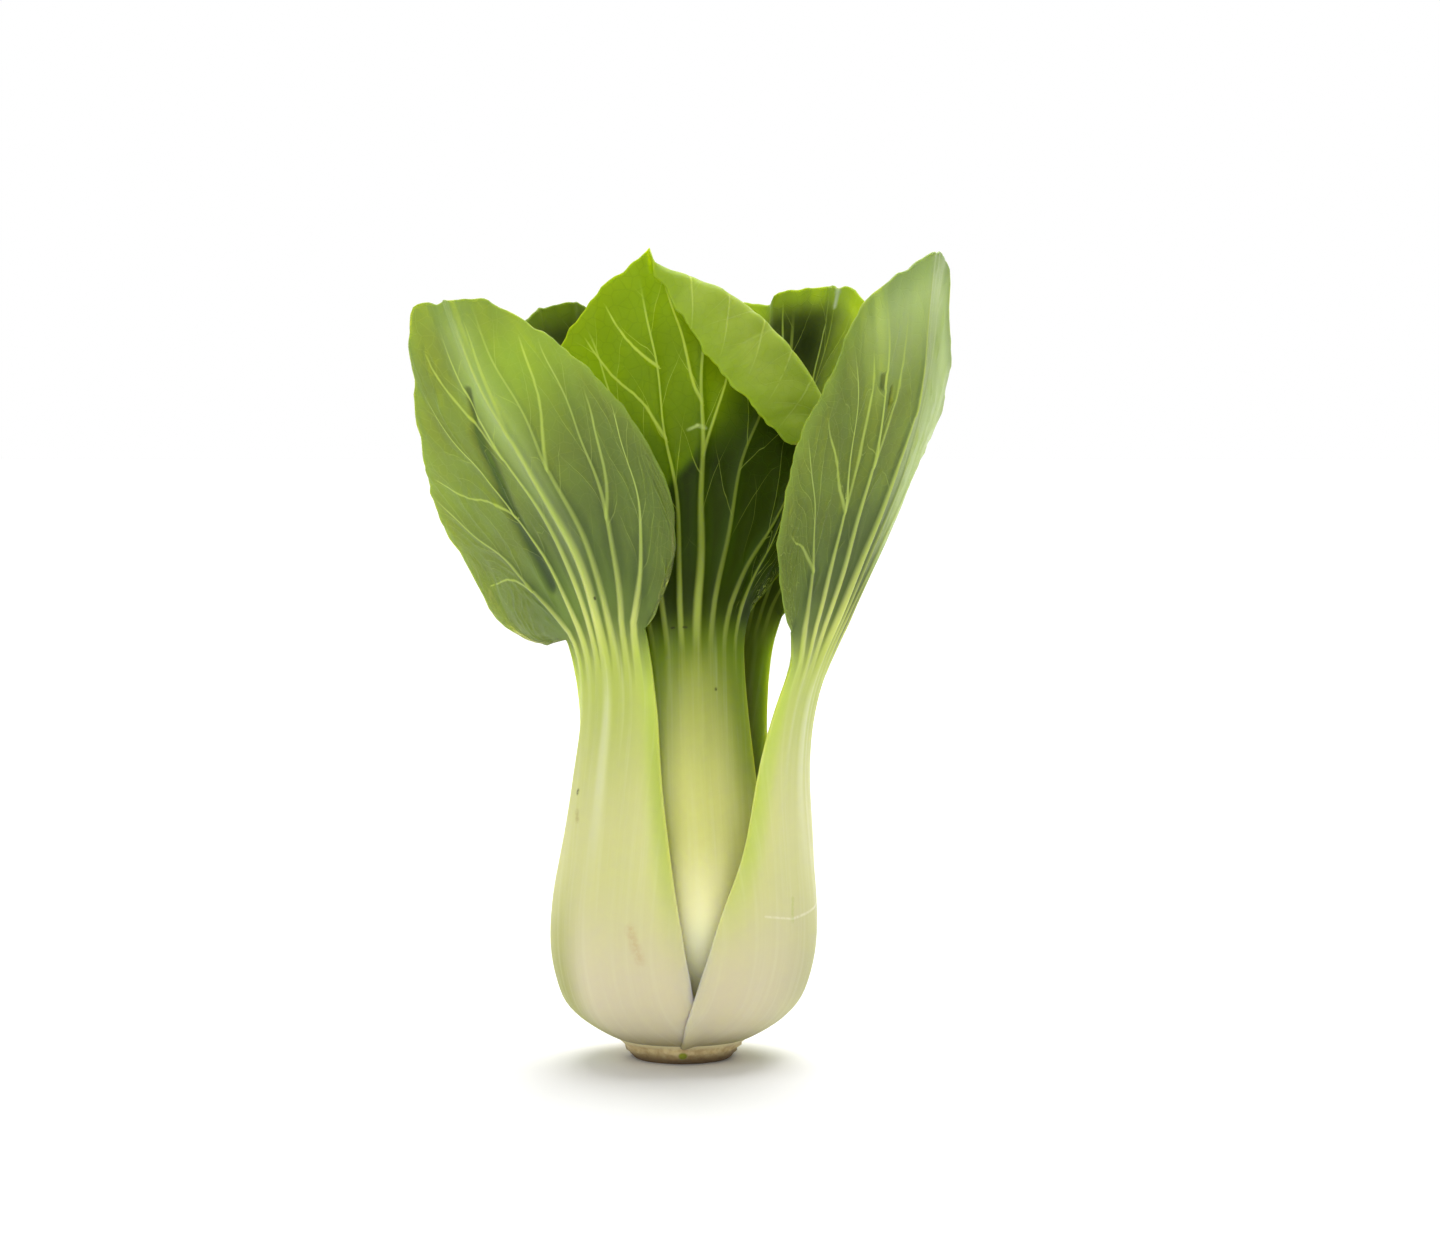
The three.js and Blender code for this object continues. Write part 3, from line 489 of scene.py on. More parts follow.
BLADE = 0.62              # thickness of a blade, in mm
MARGIN = 0.38             # and of its thin margin
RIB_WIDTHS = (1.15, 0.8)  # of the midrib and of the other ribs in the blade, in mm
INNER_RIB = 0.15          # share of its height by which a rib also stands out of the inner face
VEIN_RISE = 0.3           # height of a drawn vein, in mm
GROOVE_DEPTH = 0.5        # in mm
SWELL = 0.42              # how far the blade swells between its veins, in mm
SWELL_REACH = 2.2         # how far from a vein the swelling takes to build up, in mm
FLUTE = 0.2               # depth of the grooves along a stalk, in mm
SIDE_ROUND = 0.3          # how far a stalk's sides are rounded off, in mm
LAP = 0.7                 # how far one side of its foot is raised and the other lowered, in mm
SIDE_VEIN_STEP = 0.21     # distance between side veins, in q
SIDE_VEIN_LEAN = 2.2      # how steeply they leave their rib
SIDE_VEIN_SHIFTS = (0.37, 0.61)    # from one rib to the next, on each side, in steps
DRAWN_STEPS = 9           # points of a single vein
FLAP_STRENGTH = 0.5       # of the veins on a folded shoulder
FLAP_START = 2            # how far past the fold's arc they start, in mm
FLAP_LENGTH = 19          # and their length
FLAP_SWING = 7            # how far their bearing swings, in degrees


def flesh_thickness(leaf, u, q):
    """Thick flesh in the stalk, thinning to the sides and to the blade."""
    middle = curve(leaf.flesh, np.minimum(q, 1)) - BLADE
    middle = BLADE + middle * smooth(0.45, 0, q - 1)
    thin = BLADE + (MARGIN - BLADE) * smooth(0.7, 1, q - 1)
    return thin + (middle - thin) * np.maximum(1 - u * u, 0) ** 0.75


def metric(leaf, u, q, step=1e-3):
    """Millimetres for each rib step across and for each whole q along, at every point."""
    ahead, behind = flat_point(leaf, u + step, q), flat_point(leaf, u - step, q)
    spread = length(ahead - behind) / (2 * step) * RIB_STEP
    above, below = flat_point(leaf, u, q + step), flat_point(leaf, u, q - step)
    stretch = length(above - below) / (2 * step)
    return spread, stretch


def rib_height(leaf, fan, q, spread):
    """Ribs stand out of the outer face, strongest where the stalk turns into the blade."""
    s = np.clip(q - 1, 0, 1)
    nearest = np.round(fan)
    distance = np.abs(fan - nearest) * spread
    middle = nearest == 0
    width = np.where(middle, *RIB_WIDTHS) * (1 - 0.6 * s) * (1 + 1.2 * smooth(1, 0.5, q))
    share = np.where(middle, 1, 0.62 - 0.25 * RIB_STEP * np.abs(fan))
    along = np.where(q > 1, (1 - s) ** 0.8, 1) * (0.04 + 0.96 * smooth(0.86, 1.1, q))
    return (leaf.rib * share * along * np.exp(-((distance / width) ** 2))
            * (np.abs(nearest) < 1 / RIB_STEP))


def side_vein_distance(fan, rise, spread, stretch):
    """How far each point of the blade is from a side vein, in mm. A vein leaves each rib on both
    sides and fades half way to the next rib."""
    cell = np.floor(np.abs(fan))
    part = np.abs(fan) - cell
    lean = SIDE_VEIN_LEAN * spread / stretch
    hand = np.where(fan < 0, 0.5, 0)
    out_shift, in_shift = SIDE_VEIN_SHIFTS
    outgoing = (rise - lean * part) / SIDE_VEIN_STEP + out_shift * cell + hand
    incoming = (rise - lean * (1 - part)) / SIDE_VEIN_STEP + in_shift * cell + hand
    value = np.where(part < 0.5, outgoing, incoming)
    return np.abs(value - np.round(value)) * SIDE_VEIN_STEP * stretch


def pucker(fan, q, rise, spread, stretch):
    """The blade swells towards its inner side between the veins."""
    rib = np.abs(fan - np.round(fan)) * spread
    nearest = np.minimum(rib, side_vein_distance(fan, rise, spread, stretch) + 0.6)
    swell = 1 - np.exp(-((nearest / SWELL_REACH) ** 2))
    return -SWELL * swell * smooth(1.02, 1.3, q) * (1 - 0.6 * smooth(1.85, 2, q))


def keel_height(leaf, u, q):
    """A full, rounded middle low on the stalk."""
    along = smooth(0, 0.1, q) * smooth(0.75, 0.4, q)
    return leaf.keel * np.exp(-((u / 0.42) ** 2)) * along


def flutes(leaf, u, q):
    """Shallow grooves along the stalk, rounded sides, and sides that overlap at its foot."""
    phase = leaf.phase
    grooves = FLUTE * np.sin(9 * u + 3 * phase) + 0.05 * np.sin(23 * u + phase + np.sin(5 * q))
    rounded = SIDE_ROUND * smooth(0.86, 1, np.abs(u)) ** 2 * smooth(0.1, 0.25, q) * smooth(0.9, 0.5, q)
    lapped = LAP * np.sign(u) * smooth(0.8, 1, np.abs(u)) * smooth(0.3, 0.15, q)
    return grooves * smooth(0.12, 0.55, q) * smooth(1.25, 1, q) * (1 - u**4) - rounded - lapped


def tucked_in(leaf, u, q):
    """The sides of a stalk turn in towards the stalks inside it."""
    middle = smooth(0.12, 0.3, q) * smooth(0.95, 0.7, q)
    return -leaf.tuck * smooth(0.68, 1, np.abs(u)) ** 2 * middle


def drawn_veins(leaf):
    """Strength of each single vein and its points in the flat leaf, with those of the fold last."""
    part = np.linspace(0, 1, DRAWN_STEPS)
    for u_start, q_start, u_end, q_end in leaf.forks:
        u = u_start + (u_end - u_start) * (1 - (1 - part) ** 1.7)
        yield 1, flat_point(leaf, u, q_start + (q_end - q_start) * part)
    fold = leaf.fold
    for bearing in fold.veins if fold else []:
        angle = np.radians(bearing + FLAP_SWING * part)
        reach = fold.arc + FLAP_START + FLAP_LENGTH * part
        away = joined(np.sin(angle), np.cos(angle)) * reach[:, None]
        yield FLAP_STRENGTH, away + (fold.across, leaf.stalk + fold.up)


def vein_lines(leaf, flat):
    """For every point, how far it is to one side of the nearest drawn vein, in mm, and how strong
    the vein is there."""
    nearest, strength = np.full(len(flat), 9.0), np.zeros(len(flat))
    for amount, points in drawn_veins(leaf):
        for number, (start, end) in enumerate(zip(points[:-1], points[1:])):
            gap, part = gap_to_line(flat, start, end)
            distance = length(gap)
            closer = distance < np.abs(nearest)
            (way_x, way_y), (x, y) = end - start, (flat - start).T
            hand = np.where(way_x * y > way_y * x, 1, -1)
            fade = np.sqrt(np.clip(1 - (number + part) / (len(points) - 1), 0, 1))
            nearest = np.where(closer, hand * distance, nearest)
            strength = np.where(closer, amount * fade * smooth(1.3, 0.8, distance), strength)
    return nearest, strength


def painted_tones(leaf, flat, q):
    """Painted shade on the blade (+), all over or low down, or painted glow over an area of it (-)."""
    across, along = flat.T
    # painted shade low down on the blade, with a soft edge
    level, slope, share = leaf.shaded
    soft = 2 + 0.9 * np.maximum(across, 0)
    low = share * smooth(soft, -soft, along - level - slope * across) * smooth(0.88, 1.02, q)
    if leaf.fold:
        low = low * smooth(3, 0, from_fold(leaf, across, along)[3])
    # painted shade over a whole blade, less of it at the margin
    whole = leaf.deep * (1 - leaf.rim * smooth(1.9, 1.99, q)) * smooth(0.85, 1.08, q)
    total = np.maximum(whole, low)
    # painted shade (+) and painted glow (-) on given areas
    for x, y, radius, amount in leaf.areas:
        total = total + amount * np.exp(-((across - x) ** 2 + (along - y) ** 2) / radius**2)
    return np.clip(total, -1, 1)


# ---- leaf meshes --------------------------------------------------------------------------------

RIM_STEPS = 2             # extra rows of points round a leaf's thin edge
FINE_STEPS = 4001         # places across a leaf where the spacing of its columns is worked out
AT_RIBS = 0.55            # how much closer columns stand at the ribs
AT_MARGIN = 0.4           # and where the margin is long

# What a leaf's mesh tells its material at every point, three values to an attribute:
#   fan, spread       u counted in ribs, and the distance from rib to rib in mm
#   rise, stretch     q with a slight waver, for the side veins, and how many mm a whole q is
#   x, y, outer       the place in the flat leaf in mm, and 1 on the outer face, 0 on the inner
#   deep, painted_sheen, flank   painted shade (+) or painted glow (-), painted sheen, and how far a stalk's side is in painted shade
#   number            the leaf's place in LEAVES
#   vein_gap, vein_strength, groove      the drawn veins and grooves
LEAF_VALUES = {
    "veins": ("fan", "rise", "spread"),
    "plane": ("x", "y", "stretch"),
    "face": ("outer", "q", "flank"),
    "tone": ("deep", "painted_sheen", "number"),
    "lines": ("vein_gap", "vein_strength", "groove"),
}


def add_object(name, data):
    made = bpy.data.objects.new(name, data)
    bpy.context.scene.collection.objects.link(made)
    return made


def new_piece(name, points, faces, material):
    """A smooth-shaded object that rides on the body and replaces the CAD node of the same name."""
    mesh = bpy.data.meshes.new(name + "_fine")
    mesh.from_pydata((points * MM).tolist(), [], faces)
    mesh.polygons.foreach_set("use_smooth", np.ones(len(mesh.polygons), dtype=bool))
    mesh.materials.append(material)
    mesh.update()
    piece = add_object(name + "_fine", mesh)
    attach(piece, "root")
    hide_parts(name)
    return piece


def add_values(mesh, name, vectors):
    data = mesh.attributes.new(name, "FLOAT_VECTOR", "POINT").data
    data.foreach_set("vector", np.ascontiguousarray(vectors, dtype=np.float32).ravel())


def leaf_grid(leaf):
    """The grid's u and q, with its columns drawn together at the ribs and where the margin is long."""
    across, stalk_rows, blade_rows = leaf.grid
    fine = np.linspace(-1, 1, FINE_STEPS)
    angle = np.radians(curve(rib_fan(leaf), fine))
    reach = curve(leaf.outline, np.degrees(angle))
    edge = np.hypot(np.gradient(reach * np.sin(angle)), np.gradient(reach * np.cos(angle)))
    at_ribs = 1 + AT_RIBS * np.cos(2 * math.pi * fine / RIB_STEP)
    density = at_ribs * (1 - AT_MARGIN + AT_MARGIN * edge / edge.mean())
    passed = np.cumsum(density) - density[0]
    u = np.interp(np.linspace(0, passed[-1], across + 1), passed, fine)
    stalk = (np.arange(stalk_rows) / stalk_rows) ** 1.25
    q = np.concatenate([stalk, np.linspace(1, 2, blade_rows + 1)])
    grid_u, grid_q = np.meshgrid(u, q)
    return grid_u.ravel(), grid_q.ravel(), len(u), len(q)


def border(index):
    """The outer points of a grid in order, and for each the point one step inside it."""
    inside = np.pad(index[1:-1, 1:-1], 1, mode="edge")
    return [np.concatenate([table[0, :-1], table[:-1, -1], table[-1, :0:-1], table[:0:-1, 0]])
            for table in (index, inside)]


def shell(outer, inner, index):
    """Points and faces of a closed leaf: its two faces, and a rounded rim that joins them."""
    edge, inside = border(index)
    centre = (outer[edge] + inner[edge]) / 2
    half = (outer[edge] - inner[edge]) / 2
    size = np.linalg.norm(half, axis=1, keepdims=True)
    away = centre - (outer[inside] + inner[inside]) / 2
    away = unit(away - half * dot(away, half) / np.maximum(dot(half, half), 1e-9))
    angles = math.pi * np.arange(1, RIM_STEPS + 1) / (RIM_STEPS + 1)
    rim = [centre + half * math.cos(angle) + away * size * math.sin(angle) for angle in angles]

    count = len(outer)
    front = quads(index[:, :-1], index[:, 1:])
    faces = [front, front[:, ::-1] + count]
    rim_index = np.arange(RIM_STEPS * len(edge)).reshape(RIM_STEPS, -1) + 2 * count
    loops = [edge, *rim_index, edge + count]
    for before, after in zip(loops[:-1], loops[1:]):
        faces.append(joined(before, after, np.roll(after, -1), np.roll(before, -1)))
    return np.concatenate([outer, inner, *rim]), np.concatenate(faces).tolist(), edge


def leaf_piece(leaf, material):
    """One leaf, with the values that its material needs."""
    spine = Spine(leaf)
    u, q, columns, rows = leaf_grid(leaf)
    fan, phase = u / RIB_STEP, leaf.phase
    flat = flat_point(leaf, u, q)
    spread, stretch = metric(leaf, u, q)
    rise = q + 0.018 * np.sin(11 * q + 6 * u + phase) + 0.012 * np.sin(21 * u - 13 * q + 2 * phase)
    ribs = rib_height(leaf, fan, q, spread)
    vein_gap, vein_strength = vein_lines(leaf, flat)
    groove = on_lines(leaf.grooves, flat)
    raised = VEIN_RISE * vein_strength * smooth(1.1, 0.2, np.abs(vein_gap))
    drawn = raised - GROOVE_DEPTH * groove + tucked_in(leaf, u, q)
    shape = pucker(fan, q, rise, spread, stretch) + flutes(leaf, u, q)
    outer = place(leaf, spine, u, q, shape + ribs + drawn + keel_height(leaf, u, q))
    inner_shape = shape * smooth(0.9, 1.1, q) - INNER_RIB * ribs - flesh_thickness(leaf, u, q)
    inner = place(leaf, spine, u, q, inner_shape + drawn)

    count = len(u)
    points, faces, edge = shell(outer, inner, np.arange(count).reshape(rows, columns))
    piece = new_piece(leaf.name, points, faces, material)

    # painted highlights on curled edges and bands of painted sheen
    painted_sheen = on_lines(leaf.curls, flat)
    for start, end, band in leaf.painted_sheen:
        painted_sheen = np.maximum(painted_sheen, curve(band, u) * smooth(start, end, q))
    # painted shade on one side of a stalk, or on both sides
    hand, near, far = leaf.flank or (np.sign(u), 0.05, 0.85)
    values = dict(
        fan=fan, rise=rise, spread=spread, x=flat[:, 0], y=flat[:, 1], stretch=stretch,
        outer=np.ones(count), q=q, flank=smooth(near, far, hand * u), deep=painted_tones(leaf, flat, q),
        painted_sheen=painted_sheen, number=np.full(count, float(LEAVES.index(leaf))),
        vein_gap=vein_gap, vein_strength=vein_strength, groove=groove,
    )
    inner_values = dict(values, outer=np.zeros(count))
    for attribute, names in LEAF_VALUES.items():
        front, back = (np.stack([face[name] for name in names], -1) for face in (values, inner_values))
        rim = np.tile((front[edge] + back[edge]) / 2, (RIM_STEPS, 1))
        add_values(piece.data, attribute, np.concatenate([front, back, rim]))


# ---- the cut base -------------------------------------------------------------------------------

JOINT_GAP = 0.35          # between a leaf's butt end and its seat, in mm
BASE_SIDES = 192
# The wall of the stump, up to the lip under the outer leaves: (radius, height).
WALL = [(11.25, 0.08), (11.55, 0.25), (11.85, 0.5), (12.15, 0.8), (12.4, 1.15), (12.65, 1.5),
        (12.9, 1.9), (13.15, 2.3), (13.4, 2.7), (13.65, 3.1), (14, 3.5), (14.4, 3.9), (14.85, 4.3),
        (15.25, 4.7), (15.4, 5), (15.1, 5.15), (14.4, 4.95), (13.7, 4.5)]

# Scars of trimmed leaves on the stump: azimuth and half reach in degrees, height and depth in mm.
SCARS = [(35, 70, 2.7, 0.4), (150, 80, 2.4, 0.5), (262, 75, 2.0, 0.45), (80, 40, 1.3, 0.3),
         (-30, 45, 1.2, 0.25)]
SCAR_WIDTH = 0.32         # half width
BUD_AZIMUTH = 1
BUD_HEIGHT = 2.4
BUD_RADIUS = 14           # of the wall that it sits on
BUD_HALF = (1.05, 0.85)   # half width and half height
BUD_RISE = 1.1            # how far the bud stands out of the wall


def ring_seat(ring, flesh):
    """The straight face along the butt ends of a ring of leaves."""
    (low_r, _, low_z), (high_r, _, high_z) = ring[:2]
    run = math.hypot(high_r - low_r, high_z - low_z)
    dr, dz = (high_r - low_r) / run, (high_z - low_z) / run
    thick = flesh[0][1]
    corners = [(low_r, low_z), (low_r - dz * thick, low_z + dr * thick)]
    return [(r - dr * JOINT_GAP, z - dz * JOINT_GAP) for r, z in corners]


def away_from(angle, azimuth):
    """Angles measured from an azimuth in degrees, each the shorter way round."""
    return (angle - math.radians(azimuth) + math.pi) % (2 * math.pi) - math.pi


def base_piece(material):
    """The stump: a flat cut face, a short wall with leaf scars, and the seats inside the head."""
    face = [(r, 0) for r in np.linspace(0.4, CUT_RADIUS - 0.5, 16)]
    seats = (ring_seat(OUTER_RING, OUTER_FLESH) + [(10.8, 10.4), (9.4, 11.2)]
             + ring_seat(MIDDLE_RING, MIDDLE_FLESH) + [(5.9, 16.4), (5.6, 17)]
             + ring_seat(INNER_RING, INNER_FLESH) + [(2.9, 20.6)]
             + ring_seat(HEART_RING, HEART_FLESH))
    profile = np.array(face + WALL + seats, float)
    theta = np.linspace(0, 2 * math.pi, BASE_SIDES, endpoint=False)
    r, t = np.meshgrid(profile[:, 0], theta, indexing="ij")
    z = np.repeat(profile[:, 1], BASE_SIDES).reshape(r.shape)
    on_wall = smooth(0.05, 1, z) * smooth(4.2, 3.4, z)
    r = r + on_wall * (0.25 * np.sin(3 * t + 1) + 0.18 * np.sin(7 * t + 2) + 0.1 * np.sin(17 * t + 4 * z))
    scars = 0
    for azimuth, reach, height, depth in SCARS:
        share = np.abs(away_from(t, azimuth)) / math.radians(reach)
        level = height + 0.5 * share**2
        scars = scars + depth * smooth(1, 0.7, share) * np.exp(-(((z - level) / SCAR_WIDTH) ** 2))
    r = r + scars * (r > CUT_RADIUS)
    sideways = away_from(t, BUD_AZIMUTH) * BUD_RADIUS
    bud = np.exp(-((sideways / BUD_HALF[0]) ** 2) - ((z - BUD_HEIGHT) / BUD_HALF[1]) ** 2)
    bud = bud * (r > CUT_RADIUS)
    r = r + BUD_RISE * bud

    points = joined(r * np.sin(t), -r * np.cos(t), z).reshape(-1, 3)
    index = np.arange(r.size).reshape(r.shape)
    faces = quads(index, np.roll(index, -1, axis=1)).tolist()
    faces += [index[0, ::-1].tolist(), index[-1].tolist()]
    piece = new_piece("cut_base", points, faces, material)
    outside = smooth(0.05, 0.3, z) * (r > CUT_RADIUS)
    add_values(piece.data, "scar", joined(scars, bud, outside).reshape(-1, 3))


# ---- materials ----------------------------------------------------------------------------------


def rgb(red, green, blue):
    """A colour given as 0 to 255 screen values."""
    def linear(value):
        c = value / 255
        return c / 12.92 if c <= 0.04045 else ((c + 0.055) / 1.055) ** 2.4
    return (linear(red), linear(green), linear(blue), 1)


# On the stump, in metres: the browned rim by radius, the darker foot and the clean lip by height.
BROWN_RIM = (0.0085, 0.0122)
DARKER_FOOT = (0.0034, 0.0008)
CLEAN_LIP = (0.0036, 0.0048)
PITH_RINGS = 5200         # radians of the ring pattern to a metre
BUMP_DEPTH = 0.0004       # of a leaf's veins and grain, in metres
STALK_DEPTH = 0.004       # how far light spreads in a stalk, in metres

WHITE = rgb(255, 255, 255)
PAPER = (0.9, 0.9, 0.9, 1)
CREAM = rgb(236, 238, 205)
VEIN = rgb(164, 180, 90)
# Colours of painted shade on a stalk's neck, on a blade and on its ribs
SHADE_ON_STALK = rgb(70, 84, 14)
SHADE_ON_BLADE = rgb(40, 54, 6)
SHADE_ON_RIB = rgb(110, 124, 40)

# Some colours here are painted light and shade: the glow and the sheen are painted light, while the shaded
# side, the grooves and in part the brown butt of the outer leaves are painted shade.
OUTER_LOOK = dict(
    butt=rgb(150, 138, 94), foot=rgb(216, 207, 174), flank=rgb(156, 158, 70),
    stalk=rgb(214, 214, 148), neck=rgb(178, 192, 84), streak=CREAM,
    edge=rgb(184, 204, 78), edge_from=0.65, edge_low=0.25, ridge=0.17, ridge_colour=CREAM,
    green_from=0.9, outside=rgb(90, 107, 36), inside=rgb(84, 108, 30), light=rgb(104, 130, 48),
    bright=rgb(132, 166, 42), painted_sheen=rgb(182, 200, 134), groove=rgb(34, 58, 6),
    rib=rgb(196, 204, 118), rib_width=1.25, vein=VEIN, vein_inside=VEIN, side=0.3, fork=0.62,
    net=0.06, net_colour=VEIN, rough=0.5, shine=0.4, depth=(1.1, 1.1, 0.3), through=0.0025,
)
MIDDLE_LOOK = dict(
    OUTER_LOOK, butt=rgb(236, 230, 190), foot=rgb(255, 250, 206), flank=rgb(212, 212, 134),
    stalk=rgb(214, 214, 136), neck=rgb(120, 138, 40),
    edge=rgb(126, 152, 38), edge_from=0.15, edge_low=0.36, ridge=0.5, ridge_colour=rgb(196, 202, 106),
    green_from=0.84, outside=rgb(100, 130, 2), inside=rgb(162, 182, 74), light=rgb(124, 152, 8),
    bright=rgb(150, 184, 10), painted_sheen=rgb(222, 230, 210), groove=rgb(64, 92, 4),
    rib=rgb(172, 186, 92), rib_width=0.9, vein=rgb(178, 196, 86), vein_inside=rgb(186, 204, 96),
    side=0.55, fork=0.9, net=0.2, net_colour=rgb(62, 100, 2), shine=0.14, depth=(1.1, 1.1, 0.06),
)
INNER_LOOK = dict(
    MIDDLE_LOOK, neck=rgb(176, 196, 98), outside=rgb(128, 152, 62), inside=rgb(110, 138, 52),
)
LOOKS = {"outer_leaf": OUTER_LOOK, "middle_leaf": MIDDLE_LOOK, "inner_leaf": INNER_LOOK}

# Colour and strength of each kind of blemish.
MARK_COLOURS = {
    "speck": (rgb(60, 64, 26), 1.0), "smudge": (rgb(176, 164, 104), 0.6),
    "bruise": (rgb(196, 164, 110), 0.4), "crack": (rgb(244, 240, 222), 0.55),
    "graze": (rgb(186, 194, 100), 0.6), "tear": (rgb(196, 210, 140), 0.7),
}


class Value:
    """A node's output, so that sums of nodes can be written as plain sums."""

    def __init__(self, nodes, socket):
        self.nodes = nodes
        self.socket = socket

    def __add__(self, other):
        return self.nodes.math("ADD", self, other)

    def __sub__(self, other):
        return self.nodes.math("SUBTRACT", self, other)

    def __rsub__(self, other):
        return self.nodes.math("SUBTRACT", other, self)

    def __mul__(self, other):
        return self.nodes.math("MULTIPLY", self, other)

    def __truediv__(self, other):
        return self.nodes.math("DIVIDE", self, other)

    def __lt__(self, other):
        return self.nodes.math("LESS_THAN", self, other)

    def __abs__(self):
        return self.nodes.math("ABSOLUTE", self)


class Nodes:
    """Builds the nodes of a material or of the world. Inputs are numbers, colours and Values."""

    def __init__(self, owner):
        owner.use_nodes = True
        self.tree = owner.node_tree
        self.tree.nodes.clear()

    def add(self, kind, inputs, output=0, **settings):
        """Adds a node, and gives back one of its outputs if it has any."""
        node = self.tree.nodes.new("ShaderNode" + kind)
        for key, value in settings.items():
            setattr(node, key, value)
        for key, value in inputs.items():
            if isinstance(value, Value):
                self.tree.links.new(value.socket, node.inputs[key])
            else:
                node.inputs[key].default_value = value
        return Value(self, node.outputs[output]) if node.outputs else None

    def math(self, operation, *values):
        return self.add("Math", dict(enumerate(values)), operation=operation)

    def smooth(self, start, end, x, low=0, high=1):
        inputs = {"Value": x, "From Min": start, "From Max": end, "To Min": low, "To Max": high}
        return self.add("MapRange", inputs, interpolation_type="SMOOTHSTEP")

    def mix(self, share, a, b):
        return self.add("Mix", {0: share, 6: a, 7: b}, 2, data_type="RGBA")

    def layered(self, colour, *layers):
        """A colour with others laid over it in turn, each given as its share and itself."""
        for share, layer in layers:
            colour = self.mix(share, colour, layer)
        return colour

    def split(self, vector):
        """The three parts of a vector."""
        first = self.add("SeparateXYZ", {0: vector})
        return [Value(self, part) for part in first.socket.node.outputs]

    def values(self, name):
        """The three values of one of the mesh's attributes."""
        return self.split(self.add("Attribute", {}, "Vector", attribute_name=name))

    def vector(self, x, y):
        return self.add("CombineXYZ", {0: x, 1: y})

    def noise(self, vector, scale, detail=3, roughness=0.6):
        inputs = {"Vector": vector, "Scale": scale, "Detail": detail, "Roughness": roughness}
        return self.add("TexNoise", inputs)

    def from_whole(self, value):
        """How far a value is from the nearest whole number."""
        return abs(self.math("FRACT", value + 0.5) - 0.5)

    def line_mark(self, x, y, start, end, size):
        """1 on the line between two points, fading to 0 at a distance from it."""
        way_x, way_y = end[0] - start[0], end[1] - start[1]
        length = way_x**2 + way_y**2
        dx, dy = x - start[0], y - start[1]
        part = dx * (way_x / length) + dy * (way_y / length)
        part = self.math("MINIMUM", self.math("MAXIMUM", part, 0), 1)
        off_x, off_y = dx - part * way_x, dy - part * way_y
        return self.smooth(size * 1.3, 0, self.math("SQRT", off_x * off_x + off_y * off_y))


def rib_masks(n, at, rib_width):
    """1 on the ribs, and 1 on the strips of painted shade along both sides of them."""
    cells = abs(at.fan)
    distance = n.from_whole(cells) * at.spread
    is_middle = cells < 0.5
    width = n.smooth(1, 1.7, at.rise, rib_width, 0.37) * (is_middle * 0.5 + 1)
    rib = (1 - n.smooth(width * 0.3, width, distance)) * (cells < 3.6)
    varied = n.math("SINE", n.math("ROUND", at.fan) * 5.1) * 0.2 + 0.78
    rib = rib * n.math("MAXIMUM", varied, is_middle) * n.smooth(1.98, 1.82, at.rise)
    # strips of painted shade beside the ribs
    beside = n.smooth(width * 4, width * 1.2, distance) * n.smooth(1.7, 1.1, at.rise)
    return rib, beside * n.smooth(1.06, 1.2, at.rise)


def side_vein_mask(n, at):
    """1 on the side veins, which thin out half way to the next rib."""
    cells = abs(at.fan)
    cell, part = n.math("FLOOR", cells), n.math("FRACT", cells)
    hand = (at.fan < 0) * 0.5
    lean = at.spread / at.stretch * SIDE_VEIN_LEAN
    side = 0
    for away, shift in zip((part, 1 - part), SIDE_VEIN_SHIFTS):
        value = (at.rise - lean * away) / SIDE_VEIN_STEP + cell * shift + hand
        gap = n.from_whole(value) * at.stretch * SIDE_VEIN_STEP
        width = n.smooth(0, 0.75, away, 0.42, 0.12)
        line = (1 - n.smooth(0, width, gap)) * n.smooth(0.75, 0.4, away)
        side = n.math("MAXIMUM", side, line)
    return side * n.smooth(1.15, 1.4, at.rise) * n.smooth(1.99, 1.85, at.rise)


def leaf_values(n, look):
    """The values that the leaf's mesh holds, by name, and the patterns that follow from them."""
    at = SimpleNamespace()
    for attribute, names in LEAF_VALUES.items():
        for name, value in zip(names, n.values(attribute)):
            setattr(at, name, value)
    at.across = abs(at.fan) * RIB_STEP
    at.plane = n.vector(at.x, at.y)
    at.fibres = n.noise(n.vector(at.x * 0.5, at.y * 0.015), 1)
    at.grain = n.noise(at.plane, 2.2)
    # painted shade (+) and painted glow (-) on the blade
    at.dark = n.math("MAXIMUM", at.deep, 0)
    at.bright = n.math("MAXIMUM", at.deep * -1, 0)
    # painted sheen, broken up by the fibres
    at.painted_sheen = at.painted_sheen * n.smooth(0.25, 0.65, at.fibres, n.smooth(0.95, 1.1, at.q, 0.6, 0.9), 1)
    net = n.add("TexVoronoi", {"Vector": at.plane, "Scale": 0.38, "Randomness": 1},
                feature="DISTANCE_TO_EDGE", voronoi_dimensions="2D")
    at.net = n.smooth(0.07, 0, net) * n.smooth(1.2, 1.5, at.q)
    at.rib, at.beside = rib_masks(n, at, look.rib_width)
    fork = n.smooth(at.vein_strength * 0.5 + 0.15, 0.1, abs(at.vein_gap))
    fork = fork * n.smooth(0, 0.5, at.vein_strength)
    at.side = n.math("MAXIMUM", side_vein_mask(n, at) * look.side, fork * look.fork)
    return at


